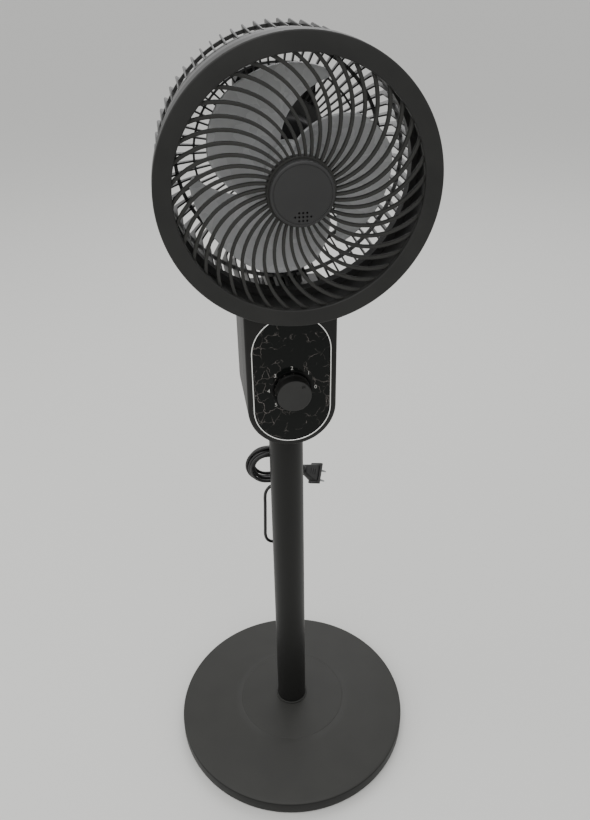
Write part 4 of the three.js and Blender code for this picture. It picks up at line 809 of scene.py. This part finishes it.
def makeFoot():
    def domeHeight(r):
        return foot["rim"] + foot["rise"] * (1 - (r / foot["crown"]) ** foot["power"])

    radius, bore, lip = foot["radius"], foot["bore"], foot["lip"]
    middle, half = foot["groove"], foot["grooveWidth"] / 2
    bottom = domeHeight(middle) - foot["grooveDepth"]
    skin = [(r, domeHeight(r)) for r in (bore, 30, 42, 56, 68)]
    skin += [(middle - half, domeHeight(middle - half)), (middle - half * 0.4, bottom),
             (middle + half * 0.4, bottom), (middle + half, domeHeight(middle + half))]
    skin += [(r, domeHeight(r)) for r in (84, 98, 112, 126, 140, 152)]
    for i in range(7):
        turn = math.radians(12 + i * 13)
        skin.append((radius - foot["edge"] + foot["edge"] * math.sin(turn),
                     foot["edgeHeight"] + foot["edge"] * math.cos(turn)))
    skin += [(radius, lip + 2), (radius - 0.6, lip), *foot["hollow"], (bore, foot["hollow"][-1][1])]
    cover = turned("footCover", skin, "Z", (0, 0, 0), 192, ring=True)
    finishPiece(cover, "footCover", "stand", baseAbs, ("base_cover",), 25)
    # the side wall's faces take the darker copy of the ABS, as painted shade
    cover.data.materials.append(rimPaintedShadeAbs)
    for face in cover.data.polygons:
        if face.normal.z < 0.7 and math.hypot(face.center.x, face.center.y) > (radius - 2) * mm:
            face.material_index = 1
    for i in range(foot["pads"]):
        turn = (i + 0.5) * 2 * math.pi / foot["pads"]
        r, height = foot["padRadius"], foot["padHeight"]
        pad = turned("pad", [(r - 1.8, 0), (r - 0.6, 0.5), (r, 1.2), (r, height)], "Z",
                     (foot["padPlace"] * math.cos(turn), foot["padPlace"] * math.sin(turn), 0), 40)
        finishPiece(pad, f"footPad{i + 1}", "stand", footRubber, (f"foot_{i + 1}",))


column = {"bore": 18.2, "radius": 19.7, "bottom": 12, "top": 545.4,
          "collarBore": 20, "collarRadius": 21.8, "collarBottom": 42.4, "collarTop": 44.7}


def makeColumn():
    tube = flatRing("columnTube", column["bore"], column["radius"], column["bottom"], column["top"], "Z")
    finishPiece(tube, "columnTube", "stand", tubeCoat, ("column_tube",))
    bore, r = column["collarBore"], column["collarRadius"]
    low, high = column["collarBottom"], column["collarTop"]
    collar = turned("columnCollar", [(bore, low), (r, low), (r, high - 1), (r - 0.6, high - 0.2),
                                     (r - 1.2, high), (bore, high)], "Z", (0, 0, 0), 96, ring=True)
    softenEdges(collar, 0.3, 2)
    finishPiece(collar, "columnCollarRing", "stand", charcoalAbs, ("column_collar",))


makeFoot()
makeColumn()
print("foot and column made")


# Housing, panel and knob

housing = {
    "lowZ": 566.1, "highZ": 631.7, "half": 46.7, "wall": 2.5, "front": -54, "faceWall": 5, "window": 41.4,
    "rear": 38, "rearWall": 2.6, "parting": -26, "seam": 0.25, "frontEdge": 2.5, "rearEdge": 5,
    "corner": 8, "panelHole": 42.5, "leadHole": 3.7, "columnHole": 20, "neckHole": 14.9,
    "turretRadius": 22, "turretLow": 658, "turretTop": 681,
    "screws": [(-36, 575), (36, 575), (-36, 646), (36, 646)],
    "screwHole": 3.5, "wellRadius": 4.6, "wellRear": 37.2,
}
panel = {"rear": -51.8, "face": -53.8, "radius": 39.5, "shaftHole": 3.3, "knobZ": 589.5,
         "beadInner": 39.8, "beadOuter": 41.1, "beadFront": -54.2, "seatInner": 18.6, "seatOuter": 21,
         "labels": "012345", "labelStep": 45, "labelRadius": 24.5, "textSize": 5.8, "inkDepth": 0.04,
         "inkLift": 0.05}
screw = {"stem": 1.6, "head": 3.2, "tip": -42, "seat": 10, "top": 12,
         "slot": [(-0.35, 2.4, 1.0), (0.35, 2.4, 1.0)]}


def roundEdge(radius, y, size, away, steps=5):
    # profile points of a rounded corner between a wall at radius and a face at y
    points = []
    for i in range(steps + 1):
        turn = math.pi / 2 * i / steps
        points.append((radius - size * (1 - math.cos(turn)), y + away * size * (1 - math.sin(turn))))
    return points


def squareTop(obj, flat=0.2):
    # the shell's sides run straight up to small corners, while the panel's hole keeps its round top
    high, half = housing["highZ"], housing["half"]
    for vert in obj.data.vertices:
        x, z = vert.co.x / mm, vert.co.z / mm - high
        r = math.hypot(x, z)
        if z <= 0 or r < housing["panelHole"] and vert.co.y < 0:
            continue
        corner = housing["corner"] - (half - r)
        step = math.atan2(z, abs(x)) / (math.pi / 2)
        if step < flat:
            across, up = r, (r - corner) * step / flat
        elif step < 1 - flat:
            turn = (step - flat) / (1 - 2 * flat) * math.pi / 2
            across, up = r - corner * (1 - math.cos(turn)), r - corner * (1 - math.sin(turn))
        else:
            across, up = (r - corner) * (1 - step) / flat, r
        vert.co.x = math.copysign(across, x) * mm
        vert.co.z = (high + up) * mm


def makeShell(name, node, profile, cutters=(), extras=()):
    shell = stretched(name, profile, housing["lowZ"], housing["highZ"], 128)
    squareTop(shell)
    cutWith(shell, cutters)
    whole = joinAll([shell, *extras]) if extras else shell
    finishPiece(whole, name, "stand", housingAbs, (node,))


def makeHousing():
    half, seam, front, rear = housing["half"], housing["seam"], housing["front"], housing["rear"]
    inner, parting, neckHole = half - housing["wall"], housing["parting"], housing["neckHole"]
    makeShell("housingFace", "housing_front", [
        (inner, front + housing["faceWall"]), (inner, parting - seam), (half - 0.4, parting - seam),
        (half, parting - 0.6), *roundEdge(half, front, housing["frontEdge"], 1),
        (housing["window"], front), (housing["window"], panel["rear"])])
    # each cutter reaches past both sides of its wall
    cutters = [drill(housing["screwHole"], 30, 42, "Y", (x, 0, z)) for x, z in housing["screws"]]
    cutters.append(drill(housing["leadHole"], 500, 530, "Z", gland["place"]))
    cutters.append(drill(housing["columnHole"], 500, 560, "Z", (0, 0, 0), 64))
    cutters.append(drill(neckHole, 640, 700, "Z", (0, 0, 0), 64))
    r, low, top = housing["turretRadius"], housing["turretLow"], housing["turretTop"]
    turret = turned("turret", [(neckHole, low), (r, low), (r, top - 0.8), (r - 0.8, top), (neckHole, top)],
                    "Z", (0, 0, 0), 96, ring=True)
    wells = [flatRing("well", housing["screwHole"], housing["wellRadius"], screw["seat"],
                      housing["wellRear"], "Y", (x, 0, z), 24) for x, z in housing["screws"]]
    makeShell("housingBack", "housing_rear", [
        (inner, rear - housing["rearWall"]), (inner, parting + seam), (half - 0.4, parting + seam),
        (half, parting + 0.7), *roundEdge(half, rear, housing["rearEdge"], -1)], cutters, [turret, *wells])


def makeScrews():
    stem, head, seat, top = screw["stem"], screw["head"], screw["seat"], screw["top"]
    for i, (x, z) in enumerate(housing["screws"]):
        body = turned("screw", [(stem, screw["tip"]), (stem, seat), (head, seat), (head, top - 0.8),
                                (head - 0.6, top)], "Y", (x, 0, z), 24)
        slots = [wedgeBlock("slot", screw["slot"]) for _ in range(2)]
        for slot, turn in zip(slots, (0, math.pi / 2)):
            slot.rotation_euler = (math.pi / 2, turn, 0)
            placeAt(slot, (x, top, z))
        cutWith(body, slots)
        finishPiece(body, f"housingScrewHead{i + 1}", "stand", zincSteel,
                    (f"housing_screw_{i + 1}",))


def makePanel():
    low, high, knobZ = housing["lowZ"], housing["highZ"], panel["knobZ"]
    r, rear, face = panel["radius"], panel["rear"], panel["face"]
    sheet = stretched("panelFace", [(r, rear), (r, face + 0.3), (r - 0.3, face)], low, high, 128)
    cutWith(sheet, [drill(panel["shaftHole"], -60, -50, "Y", (0, 0, knobZ), 32)])
    finishPiece(sheet, "panelFace", "stand", panelAcrylic, ("control_panel",))
    inner, outer, front = panel["beadInner"], panel["beadOuter"], panel["beadFront"]
    bead = stretched("panelBead", [
        (inner, rear), (inner, front + 0.5), (inner + 0.2, front + 0.1), (inner + 0.6, front),
        (outer - 0.3, front + 0.1), (outer, front + 0.5), (outer, rear)], low, high, 128, ring=True)
    finishPiece(bead, "panelBead", "stand", trimSilver, ("panel_trim",), 60)
    # the seat's near-black tone is painted shade round the knob
    inner, outer = panel["seatInner"], panel["seatOuter"]
    seat = turned("knobSeat", [(inner, face), (inner + 0.3, face - 0.15), (outer - 0.4, face - 0.15),
                               (outer, face)], "Y", (0, 0, knobZ), 96, ring=True)
    finishPiece(seat, "knobSeat", "stand", seatPaintedShadeAbs)


def makeDial():
    # plain numbers round the knob
    numbers = []
    for i, label in enumerate(panel["labels"]):
        turn = math.radians(i * panel["labelStep"])
        bpy.ops.object.select_all(action="DESELECT")
        bpy.ops.object.text_add(location=(0, 0, 0))
        text = bpy.context.object
        text.data.body = label
        text.data.align_x = "CENTER"
        text.data.align_y = "CENTER"
        text.data.size = panel["textSize"] * mm
        text.data.extrude = panel["inkDepth"] * mm
        bpy.ops.object.convert(target="MESH")
        text = bpy.context.object
        text.rotation_euler = (math.pi / 2, 0, 0)
        placeAt(text, (panel["labelRadius"] * math.cos(turn), panel["face"] - panel["inkLift"],
                       panel["knobZ"] + panel["labelRadius"] * math.sin(turn)))
        numbers.append(text)
    finishPiece(joinAll(numbers), "dialNumbers", "stand", dialInk)


knob = {"radius": 18, "bore": 3.2, "boreDepth": 9.7, "front": -69.2, "back": -54.1,
        "markAngle": 45, "markRadius": 13.5, "markBall": 2.6, "markLift": 1.4}


def makeKnob():
    z, bore, front, back, rim = panel["knobZ"], knob["bore"], knob["front"], knob["back"], knob["radius"]
    side = rim - 0.1
    profile = [(bore, back - knob["boreDepth"]), (bore, back), (rim - 0.4, back), (rim, back - 0.6),
               (side, back - 2.9), (side - 0.35, back - 3.2), (side - 0.35, back - 3.8),
               (side, back - 4.1), (side, front + 0.9), (side - 0.15, front + 0.4),
               (side - 0.5, front + 0.1), (side - 1, front), (side - 2.9, front + 0.1),
               (8, front + 0.25), (bore, front + 0.3)]
    shell = turned("knobShell", profile, "Y", (0, 0, z), 128)
    turn = math.radians(knob["markAngle"])
    bpy.ops.object.select_all(action="DESELECT")
    bpy.ops.mesh.primitive_uv_sphere_add(segments=32, ring_count=16, radius=knob["markBall"] * mm)
    dimple = bpy.context.object
    placeAt(dimple, (knob["markRadius"] * math.cos(turn), front - knob["markLift"],
                     z + knob["markRadius"] * math.sin(turn)))
    cutWith(shell, [dimple])
    finishPiece(shell, "knobShell", "knob", knobAbs, ("knob",))
    # the front face takes the lighter copy of the ABS, as painted light
    shell.data.materials.append(knobFacePaintedLightAbs)
    for face in shell.data.polygons:
        if face.normal.y < -0.9 and face.center.y < (front + 0.7) * mm:
            face.material_index = 1


makeHousing()
makeScrews()
makePanel()
makeDial()
makeKnob()
print("housing made")


# Head: ring, band, grille and cap

headZ = 813
headAt = (0, 0, headZ)
ring = {"face": -121.7, "plate": 3, "inner": 103.5, "outer": 119, "skirt": -106, "skirtInner": 116.2}
band = {"outline": [(113.5, -114.2), (115.9, -114.2), (115.9, -105.7), (117.3, -105.7), (117.7, -105.3),
                    (116.7, -80), (116.3, -79.5), (114.5, -79.2), (114.3, -67), (113.7, -67)]}


def makeRing():
    face, back, skirt = ring["face"], ring["face"] + ring["plate"], ring["skirt"]
    inner, outer = ring["inner"], ring["outer"]
    profile = [(inner, back - 0.4), (inner, face + 1.4), (inner + 0.3, face + 0.5), (inner + 1.1, face),
               (outer - 1.4, face), (outer - 0.8, face + 0.15), (outer - 0.3, face + 0.5),
               (outer - 0.05, face + 1), (outer, face + 1.6), (outer, skirt - 0.4), (outer - 0.4, skirt),
               (ring["skirtInner"], skirt), (ring["skirtInner"], back), (inner + 0.4, back)]
    rim = turned("faceRing", profile, "Y", headAt, 192, ring=True)
    finishPiece(rim, "faceRing", "head", ringAbs, ("front_ring",))
    duct = turned("duct", band["outline"], "Y", headAt, 192, ring=True)
    finishPiece(duct, "duct", "head", bandAbs, ("guard_band",))


grille = {"ribs": 40, "linear": 22, "square": 16.5, "phase": 1.2, "start": 27.5, "end": 105.7,
          "widthIn": 2.3, "widthOut": 3.0, "depthIn": 5.0, "depthOut": 3.6, "sink": 0.3, "fallBack": 3.2,
          "hubInner": 24, "hubOuter": 29, "hubDepth": 8, "hoopInner": 103.8, "hoopOuter": 115.9,
          "hoopFront": 3.05, "hoopBack": 7.45}


def makeGrille():
    def ribPlace(t):
        turn = math.radians(grille["phase"] + grille["linear"] * t + grille["square"] * t * t)
        r = grille["start"] + (grille["end"] - grille["start"]) * t
        return Vector((r * math.cos(turn), 0, r * math.sin(turn)))

    def onRib(u, v):
        along = (ribPlace(u + 0.01) - ribPlace(u - 0.01)).normalized()
        across = Vector((-along.z, 0, along.x))
        half = (grille["widthIn"] + (grille["widthOut"] - grille["widthIn"]) * u) / 2
        y = ring["face"] + grille["sink"] + grille["fallBack"] * u * u
        p = ribPlace(u) + across * (2 * v - 1) * half
        return (p.x, y, p.z + headZ)

    rib = gridOn("rib", 17, 2, onRib)
    pushOut(rib, (0, grille["depthOut"], 0))
    for vert in rib.data.vertices:
        if vert.select:  # the rear face gets deeper towards the hub
            r = math.hypot(vert.co.x, vert.co.z - headZ * mm) / mm
            inward = (grille["end"] - r) / (grille["end"] - grille["start"])
            vert.co.y += max(0, inward) * (grille["depthIn"] - grille["depthOut"]) * mm
    outwardNormals(rib)
    softenEdges(rib, 0.55, 2, 50)
    ribs = copiesRound(rib, grille["ribs"], headZ)
    face, inner, outer = ring["face"], grille["hubInner"], grille["hubOuter"]
    back = face + grille["hubDepth"]
    hub = turned("hub", [(inner, back), (outer - 0.6, back), (outer, back - 0.6), (outer, face + 0.8),
                         (outer - 0.6, face), (inner, face)], "Y", headAt)
    hoop = flatRing("hoop", grille["hoopInner"], grille["hoopOuter"], face + grille["hoopFront"],
                    face + grille["hoopBack"], "Y", headAt, 160)
    whole = joinAll([ribs, hub, hoop])
    finishPiece(whole, "swirlGrille", "head", charcoalAbs, ("front_grille",), 40)


cap = {"radius": 26.8, "front": -127.7, "back": -121.7,
       "holes": [3, 5, 3], "holePitch": 3.3, "holeRadius": 0.9, "below": 18}


def makeCap():
    front, back, rim = cap["front"], cap["back"], cap["radius"]
    profile = [(10, front - 0.55), (18, front - 0.35), (rim - 3.2, front - 0.12),
               (rim - 3, front + 0.25), (rim - 2.5, front + 0.25), (rim - 2.3, front - 0.05),
               (rim - 1.2, front + 0.15), (rim - 0.4, front + 0.7), (rim, front + 1.6),
               (rim, back - 0.4), (rim - 0.4, back), (20, back)]
    shell = turned("capShell", profile, "Y", headAt, 128)
    cutters = []
    for row, count in enumerate(cap["holes"]):
        for i in range(count):
            x = (i - (count - 1) / 2) * cap["holePitch"]
            z = headZ - cap["below"] - (row - 1) * cap["holePitch"]
            cutters.append(drill(cap["holeRadius"], front - 2.3, front + 3.2, "Y", (x, 0, z), 20))
    cutWith(shell, [joinAll(cutters)])
    finishPiece(shell, "capShell", "head", capAbs, ("hub_cap",))


makeRing()
makeGrille()
makeCap()
print("front made")


# Rear guard, pod, neck and motor covers

# a fin's outline gives places back along the head's axis, radii, depths, and the depths' lean in
# degrees; the disc and the hoops are inner and outer radius, front and back
guard = {
    "fins": 70, "firstShare": 0.45, "thickness": 1.6,
    "outline": [(-66.5, 115.5, 8, 0), (-36, 115.5, 8, 0), (-14, 115.5, 8, 0), (-8, 115.5, 8.3, 10),
                (-4, 115.4, 9.2, 22), (-1.8, 115, 10, 32), (-0.5, 114, 10, 38), (0.8, 111.8, 9.4, 44),
                (2.6, 108, 8.6, 52), (4.6, 103.6, 8, 57), (6.4, 99.3, 7.2, 60), (8, 95.4, 6.4, 63),
                (9.9, 86, 5.2, 76), (11.7, 70, 3.4, 83), (13.6, 48, 1.2, 85)],
    "rim": [(107, -69.2), (113.4, -69.2), (113.4, -66.4), (114.4, -66.4), (114.7, -66), (114.7, -58.4),
            (114.3, -58), (107, -58)],
    "disc": (12, 52, 12, 14.9),
    "hoops": [(110.4, 113.4, -20, -17), (95.2, 98.6, 2.4, 5.4), (78.2, 80.2, 8.2, 10.2)],
}


def makeGuard():
    last = len(guard["outline"]) - 1

    def onFin(u, v):
        y, r, depth, lean = guard["outline"][round(u * last)]
        turn = math.radians(lean)
        return (r - depth * v * math.cos(turn), y - depth * v * math.sin(turn), headZ)

    fin = sheetOf("fin", last, 1, onFin, guard["thickness"])
    softenEdges(fin, 0.35, 1, 60)
    fins = copiesRound(fin, guard["fins"], headZ, guard["firstShare"])
    rim = turned("rim", guard["rim"], "Y", headAt, 160, ring=True)
    disc = flatRing("disc", *guard["disc"], "Y", headAt, 128)
    hoops = [flatRing("hoop", *hoop, "Y", headAt, 160) for hoop in guard["hoops"]]
    whole = joinAll([fins, rim, disc, *hoops])
    finishPiece(whole, "finGuard", "head", finAbs, ("rear_guard",), 40)


neck = {
    "bottom": 681.3, "top": 686.5, "radius": 23, "bore": 7, "shaftRadius": 11, "shaftBottom": 630.6,
    "floor": 689, "floorHalf": 1.6, "bedHalf": 13, "front": -6, "rear": 23,
    "earIn": 12.6, "earOut": 20, "pivot": (20, 702), "eye": 12, "pinHole": 4.2,
}
pod = {
    "half": 37.3, "top": 75, "bottom": -97, "topCorner": 18, "bottomCorner": 30,
    "faceFront": 15, "faceBack": 27.75, "backFront": 28.25, "backRear": 50,
    "rearEdge": 6, "seamEdge": 0.5, "eyeHalf": 11, "shankHalf": 8,
}
near = 1e-6  # a plane's own vertices lie within this, in metres


def podOutline(name, front, back):
    # a tall rounded rectangle: the corners' vertices are bevelled, top and bottom apart
    half, low, high = pod["half"] * mm, (headZ + pod["bottom"]) * mm, (headZ + pod["top"]) * mm
    middle = (low + high) / 2
    bpy.ops.object.select_all(action="DESELECT")
    bpy.ops.mesh.primitive_plane_add(size=1, location=(0, 0, 0), rotation=(-math.pi / 2, 0, 0))
    obj = bpy.context.object
    obj.name = name
    obj.scale = (2 * half, high - low, 1)
    applyPlace(obj)
    placeAt(obj, (0, front, middle / mm))
    for upper, radius in ((True, pod["topCorner"]), (False, pod["bottomCorner"])):
        selectVerts(obj, lambda co: (co.z > middle) == upper and abs(abs(co.x) - half) < near
                    and (abs(co.z - high) < near or abs(co.z - low) < near))
        bpy.ops.mesh.bevel(offset=radius * mm, segments=12, affect="VERTICES")
        bpy.ops.object.mode_set(mode="OBJECT")
    pushOut(obj, (0, back - front, 0))
    outwardNormals(obj)
    return obj


def roundFace(obj, y, width, segments):
    # bevels the edges that lie in the plane y
    selectVerts(obj, lambda co: abs(co.y - y * mm) < near)
    bpy.ops.mesh.select_mode(type="EDGE")
    bpy.ops.mesh.bevel(offset=width * mm, segments=segments, affect="EDGES")
    bpy.ops.object.mode_set(mode="OBJECT")


def makePod():
    rear = podOutline("podBack", pod["backFront"], pod["backRear"])
    roundFace(rear, pod["backRear"], pod["rearEdge"], 6)
    roundFace(rear, pod["backFront"], pod["seamEdge"], 2)
    finishPiece(rear, "podBack", "head", charcoalAbs, ("pod_rear",))
    front = podOutline("podFace", pod["faceFront"], pod["faceBack"])
    roundFace(front, pod["faceBack"], pod["seamEdge"], 2)
    (y, z), eye, half = neck["pivot"], neck["eye"], pod["eyeHalf"]
    shank = wedgeBlock("shank", [(-half, pod["shankHalf"], eye), (half, pod["shankHalf"], eye)])
    placeAt(shank, (0, y, z + eye))
    knuckle = turned("eye", [(eye - 0.6, -half), (eye, 0.6 - half), (eye, half - 0.6),
                             (eye - 0.6, half)], "X", (0, y, z), 64)
    whole = joinAll([front, shank, knuckle])
    finishPiece(whole, "podFace", "head", blackAbs, ("pod_front",))


def makeNeck():
    # a turned base with two plates on it, each rounded about the tilt pin
    y, z = neck["pivot"]
    r, bore, bottom, top = neck["radius"], neck["bore"], neck["bottom"], neck["top"]
    base = turned("neckBase", [(bore, bottom), (r - 0.4, bottom), (r, bottom + 0.4), (r, top - 2.4),
                               (r - 0.3, top - 1.5), (r - 0.9, top - 0.8), (r - 2, top), (bore, top)],
                  "Z", (0, 0, 0), 96, ring=True)
    shaft = flatRing("neckShaft", bore, neck["shaftRadius"], neck["shaftBottom"], bottom + 0.3, "Z",
                     segments=64)
    depth, thick = (neck["rear"] - neck["front"]) / 2, neck["floorHalf"]
    bed = wedgeBlock("neckBed", [(-neck["bedHalf"], depth, thick), (neck["bedHalf"], depth, thick)])
    placeAt(bed, (0, (neck["front"] + neck["rear"]) / 2, neck["floor"] - thick))
    cutWith(bed, [drill(bore, top - 4, neck["floor"] + 4, "Z", (0, 0, 0), 64)])
    pieces = [base, shaft, bed]
    outline = [(neck["front"], top - 0.5), (neck["rear"], top - 0.5)]
    outline += [(y + neck["eye"] * math.cos(a), z + neck["eye"] * math.sin(a))
                for a in (math.pi * i / 24 for i in range(25))]
    for side in (-1, 1):
        bpy.ops.object.select_all(action="DESELECT")
        bpy.ops.mesh.primitive_circle_add(vertices=len(outline), radius=1, fill_type="NGON",
                                          location=(0, 0, 0))
        ear = bpy.context.object
        for vert, (earY, earZ) in zip(ear.data.vertices, outline):
            vert.co = Vector((side * neck["earIn"], earY, earZ)) * mm
        pushOut(ear, (side * (neck["earOut"] - neck["earIn"]), 0, 0))
        outwardNormals(ear)
        softenEdges(ear, 0.8, 3, 50)
        cutWith(ear, [drill(neck["pinHole"], -30, 30, "X", (0, y, z), 32)])
        pieces.append(ear)
    finishPiece(joinAll(pieces), "neckFork", "neck", charcoalAbs, ("neck",), 35)


# the face's two rings keep its shading flat inside the rounded edge
motor = {
    "bore": 4.3, "faceRings": (12, 30), "radius": 40, "edge": 5, "wall": 2, "parting": -12, "seam": 0.2,
    "covers": [("motorFace", "motor_front_cover", -36, 1), ("motorBack", "motor_rear_cover", 12, -1)],
}


def makeMotorCovers():
    bore, r, edge, wall = motor["bore"], motor["radius"], motor["edge"], motor["wall"]
    for name, node, end, inward in motor["covers"]:
        seam = motor["parting"] - inward * motor["seam"]
        profile = [(bore, end), *((ringRadius, end) for ringRadius in motor["faceRings"]), (r - edge, end)]
        for i in range(1, 6):
            turn = math.radians(i * 18)
            profile.append((r - edge + edge * math.sin(turn), end + inward * edge * (1 - math.cos(turn))))
        profile += [(r, seam), (r - wall, seam), (r - wall, end + inward * (edge + 1)),
                    (r - edge - 1, end + inward * wall), (bore, end + inward * wall)]
        cover = turned(name, profile, "Y", headAt, 96, ring=True)
        finishPiece(cover, name, "head", blackAbs, (node,))


makeGuard()
makePod()
makeNeck()
makeMotorCovers()
print("rear made")


# Impeller

blade = {
    "count": 3, "root": 22.8, "tip": 88, "front": -86, "rear": -44, "thickness": 2.0,
    "cornerDrop": 13, "cornerShare": 0.24, "heelDrop": 5, "heelShare": 0.1,
    "frontTurn": 150, "frontSweep": 66, "rearTurn": 59, "rearSweep": 45,
    "hub": [(6, -96), (20, -96), (21.4, -95.7), (22.8, -94.8), (23.6, -93.6), (24, -92), (24, -42.4),
            (23.6, -42), (21.5, -42), (21.5, -92), (6, -93)],
    "spinner": [(2.5, -107), (4.6, -106.8), (6.6, -105.8), (8.2, -104), (9, -101.6), (9, -96.6),
                (8.6, -96.3)],
}


def makeImpeller():
    def onBlade(u, v):
        corner = max(0.0, 1 - u / blade["cornerShare"])
        heel = max(0.0, 1 - (1 - u) / blade["heelShare"])
        tip = blade["tip"] - blade["cornerDrop"] * corner ** 2 - blade["heelDrop"] * heel ** 2
        r = blade["root"] + (tip - blade["root"]) * v
        inward = (blade["tip"] - r) / (blade["tip"] - blade["root"])
        frontTurn = blade["frontTurn"] + blade["frontSweep"] * inward
        rearTurn = blade["rearTurn"] + blade["rearSweep"] * inward
        turn = math.radians(frontTurn + (rearTurn - frontTurn) * u)
        y = blade["front"] + (blade["rear"] - blade["front"]) * u
        return (r * math.cos(turn), y, r * math.sin(turn) + headZ)

    vane = sheetOf("vane", 29, 19, onBlade, blade["thickness"])
    softenEdges(vane, 0.6, 2, 50)
    vanes = copiesRound(vane, blade["count"], headZ)
    whole = joinAll([vanes, turned("hub", blade["hub"], "Y", headAt)])
    finishPiece(whole, "vanes", "impeller", smokeResin, ("impeller",), 40)
    nut = turned("spinner", blade["spinner"], "Y", headAt, 48)
    finishPiece(nut, "spinner", "impeller", blackAbs, ("impeller_nut",))


makeImpeller()
print("impeller made")


# Finishes of the nodes that stay as they are

kept = {
    "base_weight": ironWeight, "base_underplate": blackAbs, "base_bolt": zincSteel,
    "column_plug": zincSteel, "switch_shaft": whiteAcetal, "rotary_switch": blackAbs,
    "gear_plate": zincSteel, "osc_motor": motorSteel, "osc_pinion": whiteAcetal,
    "neck_gear": whiteAcetal, "neck_bushing": bronze, "neck_ring": zincSteel,
    "tilt_pin": zincSteel, "tilt_nut": zincSteel, "friction_washer_left": blackAbs,
    "friction_washer_right": blackAbs, "stator_core": laminations, "rotor": motorSteel,
    "motor_shaft": zincSteel, "bearing_front": zincSteel, "bearing_rear": zincSteel,
    "motor_screw_1": zincSteel, "motor_screw_2": zincSteel,
}
for node, material in kept.items():
    for materialSlot in nodes[node].material_slots:
        materialSlot.material = material
    if not nodes[node].material_slots:
        nodes[node].data.materials.append(material)
for node, obj in nodes.items():
    if not obj.hide_render and node not in kept:
        print("node without a finish:", node)
